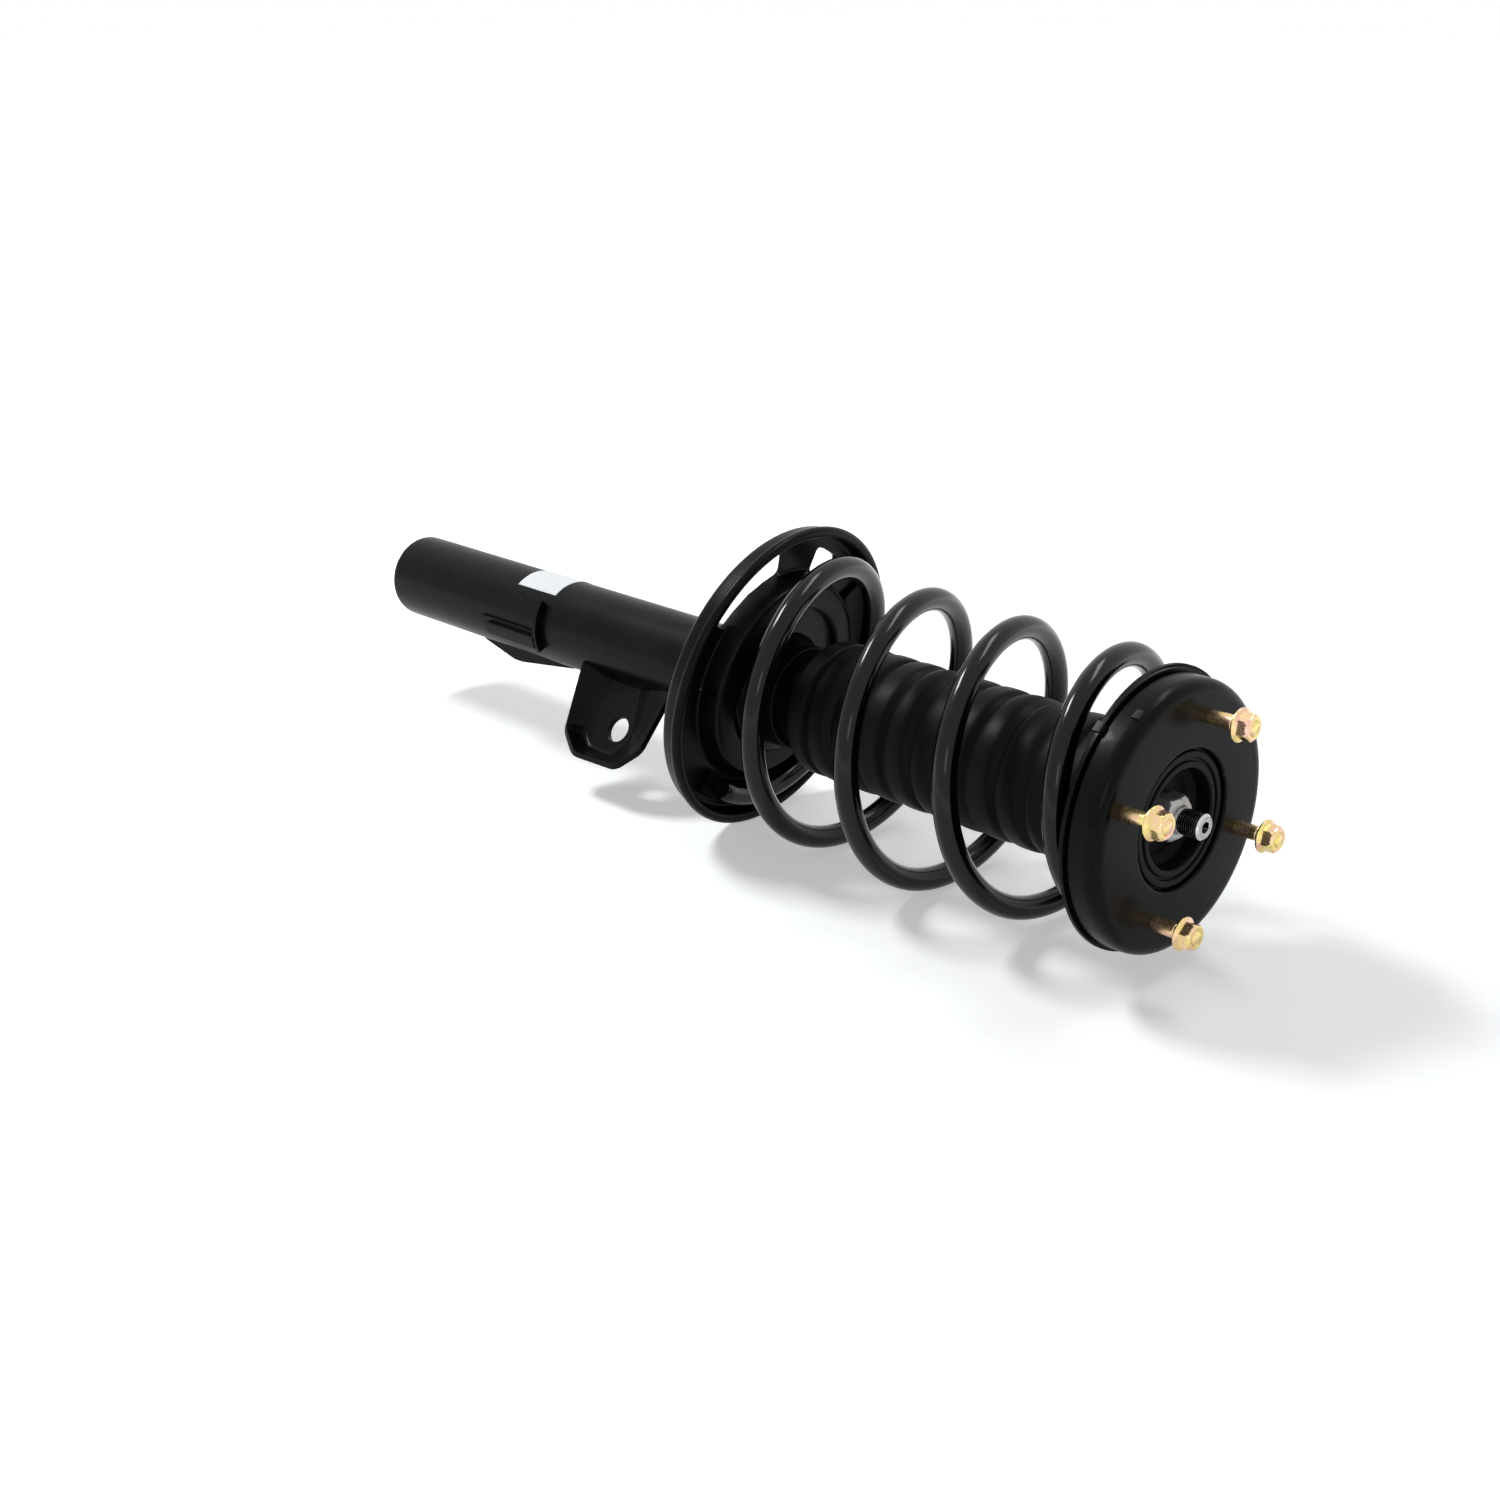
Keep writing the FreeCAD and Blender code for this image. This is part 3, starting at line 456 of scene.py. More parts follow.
def grey(level: float, warmth: float = 0.0) -> tuple[float, float, float, float]:
    """A grey with a slight tint.

    Args:
        level: Its brightness, linear.
        warmth: Above 0 leans to red, below 0 to blue.

    Returns:
        The colour with full alpha.
    """
    return (level * (1 + warmth), level, level * (1 - warmth), 1.0)


def new_material(name: str) -> tuple[bpy.types.Material, NodeTree, bpy.types.Node]:
    """Starts a material.

    Args:
        name: Its name.

    Returns:
        The material, its builder and its shader node.
    """
    material = bpy.data.materials.new(name)
    material.use_nodes = True
    make = NodeTree(material.node_tree)
    shader = next(n for n in material.node_tree.nodes if n.type == "BSDF_PRINCIPLED")
    return material, make, shader


class MaterialLibrary:
    """Makes the procedural materials, which share two node groups."""

    PAINT_CLOUD = 24.0
    METAL_CLOUD = 140.0
    GRAIN_SHARE = 0.7
    CLOUD_SHARE = 0.3
    DUST_LEVEL = 0.32
    DUST_WARMTH = 0.02
    DUST_ROUGHNESS = 0.3
    COAT_ROUGHNESS = 0.08

    def __init__(self) -> None:
        """Builds the shared groups."""
        self.made: dict[Finish, bpy.types.Material] = {}
        self.skin = self._skin_group()
        self.dust = self._dust_group()

    @staticmethod
    def _group(name: str, inputs: Iterable[str],
               outputs: Iterable[str]) -> tuple[bpy.types.NodeTree, NodeTree]:
        """Starts a node group.

        Args:
            name: Its name.
            inputs: Names of its number inputs.
            outputs: Names of its number outputs.

        Returns:
            The group and its builder.
        """
        tree = bpy.data.node_groups.new(name, "ShaderNodeTree")
        for way, keys in (("INPUT", inputs), ("OUTPUT", outputs)):
            for key in keys:
                tree.interface.new_socket(key, in_out=way, socket_type="NodeSocketFloat")
        return tree, NodeTree(tree)

    def _skin_group(self) -> bpy.types.NodeTree:
        """Fine texture of a surface: a soft cloud, a fine grain and their height.

        Returns:
            The group.
        """
        tree, make = self._group("surface_skin", ("Grain", "Cloud"), ("Cloud", "Grain", "Height"))
        source = make.add("NodeGroupInput")
        place = make.add("ShaderNodeTexCoord").outputs["Object"]
        noises = {}
        for key, detail in (("Cloud", 3.0), ("Grain", 2.0)):
            inputs = {"Vector": place, "Scale": source.outputs[key], "Detail": detail}
            noises[key] = make.add("ShaderNodeTexNoise", inputs).outputs["Fac"]
        fine = make.math("MULTIPLY", noises["Grain"], self.GRAIN_SHARE)
        total = make.math("ADD", fine, make.math("MULTIPLY", noises["Cloud"], self.CLOUD_SHARE))
        make.add("NodeGroupOutput", {**noises, "Height": total})
        return tree

    def _dust_group(self) -> bpy.types.NodeTree:
        """Specks of dust and small scratches on dark surfaces.

        Returns:
            The group.
        """
        tree, make = self._group("dust_and_scratches", ("Amount",), ("Mask",))
        source = make.add("NodeGroupInput")
        place = make.add("ShaderNodeTexCoord").outputs["Object"]
        cells = make.add("ShaderNodeTexVoronoi", {"Vector": place, "Scale": 130.0}, feature="F1")
        speck = make.spread(cells.outputs["Distance"], 0.03, 0.09, 1.0, 0.0)
        some = make.spread(make.noise(place, 16.0, 2.0), 0.52, 0.66, 0.0, 1.0)
        long_way = make.add("ShaderNodeMapping", {"Vector": place, "Scale": (0.25, 3.0, 1.0),
                                                  "Rotation": (0.3, 0.5, 0.9)})
        streak = make.spread(make.noise(long_way.outputs["Vector"], 240.0, 1.0), 0.74, 0.82, 0.0, 0.6)
        both = make.math("MAXIMUM", make.math("MULTIPLY", speck, some), make.math("MULTIPLY", streak, some))
        make.add("NodeGroupOutput", {"Mask": make.math("MULTIPLY", both, source.outputs["Amount"])})
        return tree

    @staticmethod
    def _group_node(make: NodeTree, tree: bpy.types.NodeTree, inputs: dict[str, float]) -> bpy.types.Node:
        """Adds one of the shared groups.

        Args:
            make: Builder of the material.
            tree: The group.
            inputs: Its input values.

        Returns:
            The group's node.
        """
        node = make.add("ShaderNodeGroup")
        node.node_tree = tree
        for key, value in inputs.items():
            node.inputs[key].default_value = value
        return node

    @staticmethod
    def _join(make: NodeTree, shader: bpy.types.Node, colour: bpy.types.NodeSocket,
              roughness: bpy.types.NodeSocket, skin: bpy.types.Node, bump: float) -> None:
        """Links colour, roughness and fine bumps to the shader.

        Args:
            make: Builder of the material.
            shader: Its shader node.
            colour: The colour.
            roughness: The roughness.
            skin: Node of the skin group.
            bump: Depth of the bumps in millimetres.
        """
        height = skin.outputs["Height"]
        bumped = make.add("ShaderNodeBump", {"Height": height, "Distance": bump * MM, "Strength": 1.0})
        make.tree.links.new(colour, shader.inputs["Base Color"])
        make.tree.links.new(roughness, shader.inputs["Roughness"])
        make.tree.links.new(bumped.outputs["Normal"], shader.inputs["Normal"])

    def _painted(self, finish: Finish, look: Paint) -> bpy.types.Material:
        """A coating with a cloudy tone, fine bumps and dust.

        Args:
            finish: Which finish it is.
            look: How it looks.

        Returns:
            The material.
        """
        material, make, shader = new_material(finish.value)
        skin = self._group_node(make, self.skin, {"Grain": look.grain, "Cloud": self.PAINT_CLOUD})
        dusty = self._group_node(make, self.dust, {"Amount": look.dust}).outputs["Mask"]
        cloud = make.spread(skin.outputs["Cloud"], 0.3, 0.7, 0.0, 1.0)
        tone = make.blend(cloud, grey(look.dark, look.warmth), grey(look.light, look.warmth))
        colour = make.blend(dusty, tone, grey(self.DUST_LEVEL, self.DUST_WARMTH))
        roughness = make.spread(skin.outputs["Cloud"], 0.3, 0.7, *look.rough)
        roughness = make.math("ADD", roughness, make.math("MULTIPLY", dusty, self.DUST_ROUGHNESS))
        self._join(make, shader, colour, roughness, skin, look.bump)
        shader.inputs["Specular IOR Level"].default_value = look.sheen
        shader.inputs["Coat Weight"].default_value = look.coat
        shader.inputs["Coat Roughness"].default_value = self.COAT_ROUGHNESS
        return material

    def _metal(self, finish: Finish, look: Metal) -> bpy.types.Material:
        """A metal with two mixed tones and fine bumps.

        Args:
            finish: Which finish it is.
            look: How it looks.

        Returns:
            The material.
        """
        material, make, shader = new_material(finish.value)
        skin = self._group_node(make, self.skin, {"Grain": look.grain, "Cloud": self.METAL_CLOUD})
        share = make.spread(skin.outputs["Cloud"], 0.35, 0.65, 0.0, 1.0)
        colour = make.blend(share, look.first + (1.0,), look.second + (1.0,))
        roughness = make.spread(skin.outputs["Grain"], 0.3, 0.7, *look.rough)
        self._join(make, shader, colour, roughness, skin, look.bump)
        shader.inputs["Metallic"].default_value = look.bare
        return material

    def get(self, finish: Finish) -> bpy.types.Material:
        """The material of a finish, made when first asked for.

        Args:
            finish: The finish.

        Returns:
            Its material.
        """
        if finish not in self.made:
            look = LOOKS[finish]
            make = self._painted if isinstance(look, Paint) else self._metal
            self.made[finish] = make(finish, look)
        return self.made[finish]


class PieceMaker:
    """Turns surfaces into Blender pieces that ride on the CAD bodies."""

    CUT_SHARP = 40.0

    def __init__(self, frame: StrutFrame, materials: MaterialLibrary) -> None:
        """Keeps what every piece needs.

        Args:
            frame: The strut's frame.
            materials: The materials.
        """
        self.frame = frame
        self.materials = materials

    def piece(self, name: str, surface: Surface, finish: Finish, body: Body, replaces: Sequence[str] = (),
              sharp: float = 38.0, bevel: float = 0.0, thickness: float = 0.0) -> bpy.types.Object:
        """Makes one piece.

        Args:
            name: Its name.
            surface: Its mesh in the strut's frame.
            finish: Its finish.
            body: The body that it rides on.
            replaces: CAD nodes that it stands for.
            sharp: Edges above this angle, in degrees, stay sharp.
            bevel: Width of the bevel on sharp edges, in millimetres.
            thickness: Sheet thickness given to an open surface, in millimetres.

        Returns:
            The piece.
        """
        mesh = bpy.data.meshes.new(name)
        mesh.from_pydata(self.frame.world(surface.points).tolist(), [], surface.faces)
        mesh.validate()
        piece = add_object(name, mesh)
        work = bmesh.new()
        work.from_mesh(mesh)
        bmesh.ops.remove_doubles(work, verts=work.verts, dist=1e-6)
        bmesh.ops.recalc_face_normals(work, faces=work.faces)
        work.to_mesh(mesh)
        work.free()
        if thickness:
            solid = piece.modifiers.new("sheet", "SOLIDIFY")
            solid.thickness = thickness * MM
            solid.offset = 0.0
            solid.use_even_offset = True
        if bevel:
            self.bevel(piece, bevel * MM, math.radians(sharp))
        self.shade(piece, sharp)
        mesh.materials.append(self.materials.get(finish))
        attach(piece, body.value)
        if replaces:
            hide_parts(*replaces)
        LOG.info("%s on %s", name, body.value)
        return piece

    @staticmethod
    def bevel(piece: bpy.types.Object, width: float, limit: float) -> None:
        """Bevels the edges above an angle.

        Args:
            piece: The piece.
            width: Width of the bevel in metres.
            limit: The angle in radians.
        """
        edge = piece.modifiers.new("bevel", "BEVEL")
        edge.width = width
        edge.segments = 3
        edge.limit_method = "ANGLE"
        edge.angle_limit = limit

    @staticmethod
    def shade(piece: bpy.types.Object, sharp: float) -> None:
        """Smooth shading with sharp edges above an angle.

        Args:
            piece: The piece.
            sharp: The angle in degrees.
        """
        mesh = piece.data
        mesh.shade_smooth()
        work = bmesh.new()
        work.from_mesh(mesh)
        limit = math.radians(sharp)
        for edge in work.edges:
            if len(edge.link_faces) == 2:
                edge.smooth = edge.calc_face_angle(0.0) < limit
        work.to_mesh(mesh)
        work.free()

    def cut(self, piece: bpy.types.Object, cutters: Sequence[Surface]) -> None:
        """Cuts shapes out of a piece and applies the cuts.

        Args:
            piece: The piece.
            cutters: Closed surfaces to cut away.
        """
        tools = []
        for i, cutter in enumerate(cutters):
            mesh = bpy.data.meshes.new(f"cutter_{i}")
            mesh.from_pydata(self.frame.world(cutter.points).tolist(), [], cutter.faces)
            tool = add_object(f"cutter_{i}", mesh)
            work = bmesh.new()
            work.from_mesh(mesh)
            bmesh.ops.recalc_face_normals(work, faces=work.faces)
            work.to_mesh(mesh)
            work.free()
            tools.append(tool)
            step = piece.modifiers.new(f"cut_{i}", "BOOLEAN")
            step.operation = "DIFFERENCE"
            step.solver = "EXACT"
            step.object = tool
        kept = [m for m in piece.modifiers if m.type == "BEVEL"]
        settings = [(m.width, m.angle_limit) for m in kept]
        for modifier in kept:
            piece.modifiers.remove(modifier)
        bpy.context.view_layer.update()
        shown = piece.evaluated_get(bpy.context.evaluated_depsgraph_get())
        mesh = bpy.data.meshes.new_from_object(shown)
        material = piece.data.materials[0]
        piece.modifiers.clear()
        piece.data = mesh
        mesh.materials.clear()
        mesh.materials.append(material)
        for tool in tools:
            bpy.data.objects.remove(tool)
        for width, limit in settings:
            self.bevel(piece, width, limit)
        self.shade(piece, self.CUT_SHARP)

    def squash(self, piece: bpy.types.Object, low: float, high: float) -> None:
        """Gives the piece its own copy of its mesh, and leaves its length as it is.

        Args:
            piece: The piece, which rides on the strut body.
            low: Height of its fixed end.
            high: Not used.
        """
        anchor = self.frame.world(np.array([0.0, 0.0, low]))
        tuple(self.frame.axis)
        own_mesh(piece)


def add_object(name: str, data: bpy.types.ID) -> bpy.types.Object:
    """Makes an object and links it to the scene.

    Args:
        name: Its name.
        data: Its mesh, light or camera.

    Returns:
        The object.
    """
    made = bpy.data.objects.new(name, data)
    bpy.context.scene.collection.objects.link(made)
    return made


def swept(line: np.ndarray, radii: np.ndarray, segments: int = 28) -> Surface:
    """Round bar along a line: circles square to it, each turned as little as possible from the last.

    Args:
        line: Points of its centre line.
        radii: Radius at each point.
        segments: Points round the bar.

    Returns:
        The bar with closed ends.
    """
    way = np.gradient(line, axis=0)
    way /= np.linalg.norm(way, axis=1)[:, None]
    out = np.zeros_like(line)
    first = np.cross(way[0], [0.0, 0.0, 1.0])
    out[0] = first / np.linalg.norm(first)
    for i in range(1, len(line)):
        step = out[i - 1] - way[i] * (out[i - 1] @ way[i])
        out[i] = step / np.linalg.norm(step)
    across = np.cross(way, out)
    angle = np.linspace(0, 2 * math.pi, segments, endpoint=False)
    rings = line[:, None, :] + radii[:, None, None] * (
        np.cos(angle)[None, :, None] * out[:, None, :] + np.sin(angle)[None, :, None] * across[:, None, :]
    )
    surface = Surface.grid(rings)
    surface.cap(0, segments, True)
    surface.cap(len(line) - 1, segments, True)
    return surface


def arc_bar(section: np.ndarray, angles: np.ndarray) -> Surface:
    """Bar with closed ends that runs round the axis.

    Args:
        section: Radius and height of each point of its outline.
        angles: Angles along the bar in radians.

    Returns:
        The bar.
    """
    radius, height = section[:, 0], section[:, 1]
    rows = [np.stack([radius * math.cos(a), radius * math.sin(a), height], axis=-1) for a in angles]
    surface = Surface.grid(np.array(rows))
    surface.cap(0, len(section), True)
    surface.cap(len(rows) - 1, len(section), True)
    return surface


@dataclass(frozen=True)
class SubAssembly:
    """Pieces that are built together, with their sizes."""

    maker: PieceMaker


@dataclass(frozen=True)
class Tube(SubAssembly):
    """Outer tube of the damper, with its label."""

    radius: float = 27.5
    wall: float = 2.5
    top: float = 416.0
    end_round: float = 4.5
    edge: float = 0.8
    inside_shown: float = 8.0
    rings_low: float = 12.0
    rings_stop: float = 2.0
    clamp_at: float = 40.0
    label_low: float = 128.0
    label_high: float = 166.0
    label_start: float = -52.0
    label_end: float = 36.0
    label_lift: float = 0.2
    label_thick: float = 0.12

    def build(self) -> None:
        """Builds the tube and its label."""
        self.shell()
        self.label()

    def shell(self) -> None:
        """The damper's outer tube with its closed, rounded lower end."""
        r, bore = self.radius, self.radius - self.wall
        profile = rounded([
            (0.0, 0.0, 0.0), (r, 0.0, self.end_round), (r, self.top, self.edge), (bore, self.top, 0.0),
            (bore, self.top - self.inside_shown, 0.0),
        ], steps=12)
        along = np.linspace(self.rings_low, self.top - self.rings_stop, 60)
        head = [p for p in profile if p[1] < along[0]]
        tail = [p for p in profile if p[1] > along[-1] or p[0] < r and p[1] > along[0]]
        rings = head + [(r, float(z)) for z in along] + tail
        surface = Surface.turned(rings, segments=128)
        self.maker.piece("tube", surface, Finish.SATIN_PAINT, Body.STRUT, ["outer_tube"])

    def label(self) -> None:
        """The bare white label that wraps round the tube."""
        lift = self.radius + self.label_lift
        angle = np.radians(np.linspace(self.label_start, self.label_end, 60))
        height = np.linspace(self.label_low, self.label_high, 24)
        around, along = np.meshgrid(angle, height)
        points = np.stack([lift * np.cos(around), lift * np.sin(around), along], axis=-1)
        surface = Surface.grid(points, wrap_columns=False)
        self.maker.piece("label_sheet", surface, Finish.LABEL, Body.STRUT, ["label"],
                         thickness=self.label_thick)


@dataclass(frozen=True)
class LinkBracket(SubAssembly):
    """Pressed tray on the tube that takes the stabilizer link."""

    turn: float = 145.0
    sheet: float = 3.5
    deep: float = 14.0
    floor: tuple[tuple[float, float], ...] = (
        (219, 24), (217, 67.5), (227, 75), (252, 76), (261, 60.5), (251, 24))
    mouth: tuple[tuple[float, float], ...] = (
        (200, 24), (211, 69), (227, 82), (268, 81), (283, 66), (288, 24))
    root: float = 24.0
    wall_from: float = 0.45
    cut_from: float = -8.0
    cut_to: float = 10.0
    corner: float = 13.0
    fold: float = 4.0
    hole: tuple[float, float] = (245.2, 55.2)
    hole_radius: float = 8.0

    def build(self) -> None:
        """The pressed tray with its folded rim and the hole for the link."""
        half = self.sheet / 2
        outline = self.outline
        floor, mouth = outline(self.floor, half), outline(self.mouth, half)
        rows = [(outline(self.floor, half + self.fold), half)]
        for step in np.linspace(0.0, 1.0, 7):
            angle = step * math.pi / 2
            share = (1 - math.cos(angle)) * self.fold / self.deep
            inner = outline(self.floor, half + self.fold * (1 - math.sin(angle)))
            rows.append((inner + (mouth - floor) * share, half + self.fold * (1 - math.cos(angle))))
        for share in np.linspace(self.wall_from, 1.0, 6):
            rows.append((floor + (mouth - floor) * share, half + (self.deep - half) * share))
        grid = np.array([self.placed(ring[:, 0], ring[:, 1], depth) for ring, depth in rows])
        tray = Surface.grid(grid, wrap_columns=False)
        tray.cap(0, grid.shape[1], True)
        piece = self.maker.piece("link_tray", tray, Finish.SATIN_PAINT, Body.STRUT, ["stabilizer_bracket"],
                                 thickness=self.sheet, bevel=0.6, sharp=self.maker.CUT_SHARP)
        angle = np.linspace(0, 2 * math.pi, 48, endpoint=False)
        z = self.hole[0] + self.hole_radius * np.cos(angle)
        out = self.hole[1] + self.hole_radius * np.sin(angle)
        hole = Surface.grid(np.array([self.placed(z, out, at) for at in (self.cut_from, self.cut_to)]))
        hole.cap(0, len(angle), True)
        hole.cap(1, len(angle), True)
        self.maker.cut(piece, [hole])

    def outline(self, points: Sequence[tuple[float, float]], inward: float) -> np.ndarray:
        """Outline of the tray with rounded corners, drawn in by a distance.

        Args:
            points: Its corners, as height along the tube and distance from the axis.
            inward: How far it is drawn in.

        Returns:
            The outline's points.
        """
        ring = np.array(rounded([(z, out, self.corner) for z, out in points], steps=8))
        middle = np.array([ring[:, 0].mean(), self.root])
        way = middle - ring
        way[:, 1] = np.where(ring[:, 1] > self.root + 1.0, way[:, 1], 0.0)
        return ring + way / np.linalg.norm(way, axis=1)[:, None] * inward

    def placed(self, z: np.ndarray, out: np.ndarray, depth: float) -> np.ndarray:
        """Points of the bracket in the strut's frame.

        Args:
            z: Heights along the tube.
            out: Distances from the tube's axis.
            depth: Depth of the tray toward the viewer.

        Returns:
            The points.
        """
        outward, toward = math.radians(self.turn), math.radians(self.turn - 90.0)
        x = out * math.cos(outward) + depth * math.cos(toward)
        y = out * math.sin(outward) + depth * math.sin(toward)
        return np.stack([x, y, z], axis=-1)


@dataclass(frozen=True)
class Seat(SubAssembly):
    """Lower spring seat, a leaning dish with a rolled lip."""

    centre: tuple[float, float, float] = (6.56, -3.08, 350.24)
    lean_up: float = -0.1930
    lean_side: float = -0.0965
    rim: float = 93.9
    lip: float = 3.2
    sheet: float = 3.0
    deep: float = 9.0
    track_in: float = 64.0
    boss_rise: float = 13.5
    boss_draft: float = 4.0
    hub: float = 46.0
    hub_rise: float = 9.0
    collar_wall: float = 3.5
    collar_reach: float = 26.0
    window_in: float = 63.0
    window_square: float = 0.28
    windows: tuple[tuple[float, float, float], ...] = ((4.0, 52.0, 87.0), (-38.0, -20.0, 79.0))
    drains: tuple[float, ...] = (-56.0, 84.0)
    drain_at: float = 63.0
    drain_radius: float = 1.7
    pad_turn: tuple[float, float] = (140.0, 300.0)
    pad_middle: float = 75.25
    pad_half: float = 7.5
    pad_high: float = 3.0
    pad_lip: float = 0.6
    pad_lip_wide: float = 1.6
    cut_reach: float = 40.0
    drain_reach: float = 30.0

    def build(self) -> None:
        """Builds the dish, its collar and the rubber strip."""
        self.dish()
        self.collar()
        self.pad()

    def dish(self) -> None:
        """The leaning dish that carries the spring."""
        s = self.sheet
        floor = -self.deep
        boss = floor + self.boss_rise
        hub_top = floor + self.hub_rise
        boss_r = self.track_in - self.boss_draft
        wall_in = self.rim - 2 * self.lip
        lip_centre = self.rim - self.lip
        lip = [(lip_centre + self.lip * math.cos(a), self.lip * math.sin(a))
               for a in np.radians(np.linspace(-60, 235, 22))]
        outside = rounded([
            (self.hub - 4, hub_top - s, 0), (self.hub + s - 2, hub_top - s, 1),
            (self.hub + s, boss - s, 1.5), (boss_r - s, boss - s, 2), (self.track_in - s, floor - s, 4),
            (wall_in + s, floor - s, 5), lip[0] + (0,),
        ])
        inside = rounded([
            lip[-1] + (0,), (wall_in, floor, 3), (self.track_in, floor, 2.5), (boss_r, boss, 4),
            (self.hub, boss, 2.5), (self.hub - 2, hub_top, 1.5), (self.hub - 6, hub_top, 0),
        ])
        hub = [(Tube.radius + 1.0, hub_top), (Tube.radius + 1.0, hub_top - s)]
        dish = Surface.turned(outside + lip + inside + hub, segments=180, closed=True).moved(self.placed)
        piece = self.maker.piece("lower_seat_dish", dish, Finish.SATIN_PAINT, Body.STRUT,
                                 ["lower_spring_seat"], bevel=0.7, sharp=self.maker.CUT_SHARP)
        cutters = [self.window(*window) for window in self.windows]
        for angle in self.drains:
            turn = math.radians(angle)
            at = np.array([self.drain_at * math.cos(turn), self.drain_at * math.sin(turn), 0])
            ends = (-self.drain_reach, self.drain_reach)
            drain = Surface.turned([(self.drain_radius, z) for z in ends], segments=24)
            cutters.append(drain.moved(lambda p, at=at: self.placed(p + at)))
        self.maker.cut(piece, cutters)

    def collar(self) -> None:
        """The collar that holds the dish on the tube."""
        wall = Tube.radius + self.collar_wall
        middle = self.centre[2]
        reach = self.collar_reach
        collar = rounded([
            (Tube.radius + 0.1, middle - reach, 0), (wall, middle - reach, 1.2), (wall, middle - 6, 5),
            (wall + 8, middle, 4), (wall, middle + 6, 5), (wall, middle + reach, 1.2),
            (Tube.radius + 0.1, middle + reach, 0),
        ])
        sleeve = Surface.turned(collar, segments=96, closed=True)
        self.maker.piece("lower_seat_collar", sleeve, Finish.SATIN_PAINT, Body.STRUT)

    def window(self, start: float, end: float, outer: float) -> Surface:
        """Cutter for one window of the dish.

        Its outline is a square with rounded corners, from small powers of the sine and cosine, laid out
        in angle and radius.

        Args:
            start: Its first angle in degrees.
            end: Its last angle in degrees.
            outer: Radius of its outer edge.

        Returns:
            The cutter in the strut's frame.
        """
        middle = math.radians((start + end) / 2)
        half = math.radians((end - start) / 2)
        centre_r = (self.window_in + outer) / 2
        half_r = (outer - self.window_in) / 2
        turn = np.linspace(0, 2 * math.pi, 72, endpoint=False)
        across, up = (np.sign(part) * np.abs(part) ** self.window_square
                      for part in (np.cos(turn), np.sin(turn)))
        radius = centre_r + half_r * up
        angle = middle + half * across
        rings = [np.stack([radius * np.cos(angle), radius * np.sin(angle), np.full_like(radius, z)], axis=-1)
                 for z in (-self.cut_reach, self.cut_reach)]
        surface = Surface.grid(np.array(rings))
        surface.cap(0, len(turn), True)
        surface.cap(1, len(turn), True)
        return surface.moved(self.placed)

    def pad(self) -> None:
        """The rubber strip under the spring's first turn, with raised edges."""
        half, high, lip = self.pad_half, self.pad_high, self.pad_high + self.pad_lip
        inner = half - self.pad_lip_wide
        section = np.array(rounded([
            (-half, 0.0, 0.0), (-half, lip, 0.5), (-inner, high, 0.5),
            (inner, high, 0.5), (half, lip, 0.5), (half, 0.0, 0.0),
        ], steps=3))
        clear = 0.1
        section = np.stack([self.pad_middle + section[:, 0], -self.deep + clear + section[:, 1]], axis=-1)
        strip = arc_bar(section, np.radians(np.linspace(*self.pad_turn, 72))).moved(self.placed)
        self.maker.piece("lower_pad_strip", strip, Finish.RUBBER, Body.STRUT, ["lower_spring_pad"])

    @classmethod
    def axes(cls) -> np.ndarray:
        """Axes of the seat's own frame: its normal, and two axes square to it.

        Returns:
            The axes as rows, in the strut's frame.
        """
        upright = math.sqrt(1 - cls.lean_up**2 - cls.lean_side**2)
        normal = np.array([cls.lean_up, cls.lean_side, upright])
        along = np.array([1.0, 0.0, 0.0]) - normal * normal[0]
        along /= np.linalg.norm(along)
        return np.array([along, np.cross(normal, along), normal])

    @classmethod
    def placed(cls, points: np.ndarray) -> np.ndarray:
        """Takes points of the seat's own frame to the strut's frame.

        Args:
            points: Points of the seat's frame.

        Returns:
            The same points in the strut's frame.
        """
        return np.array(cls.centre) + points @ cls.axes()


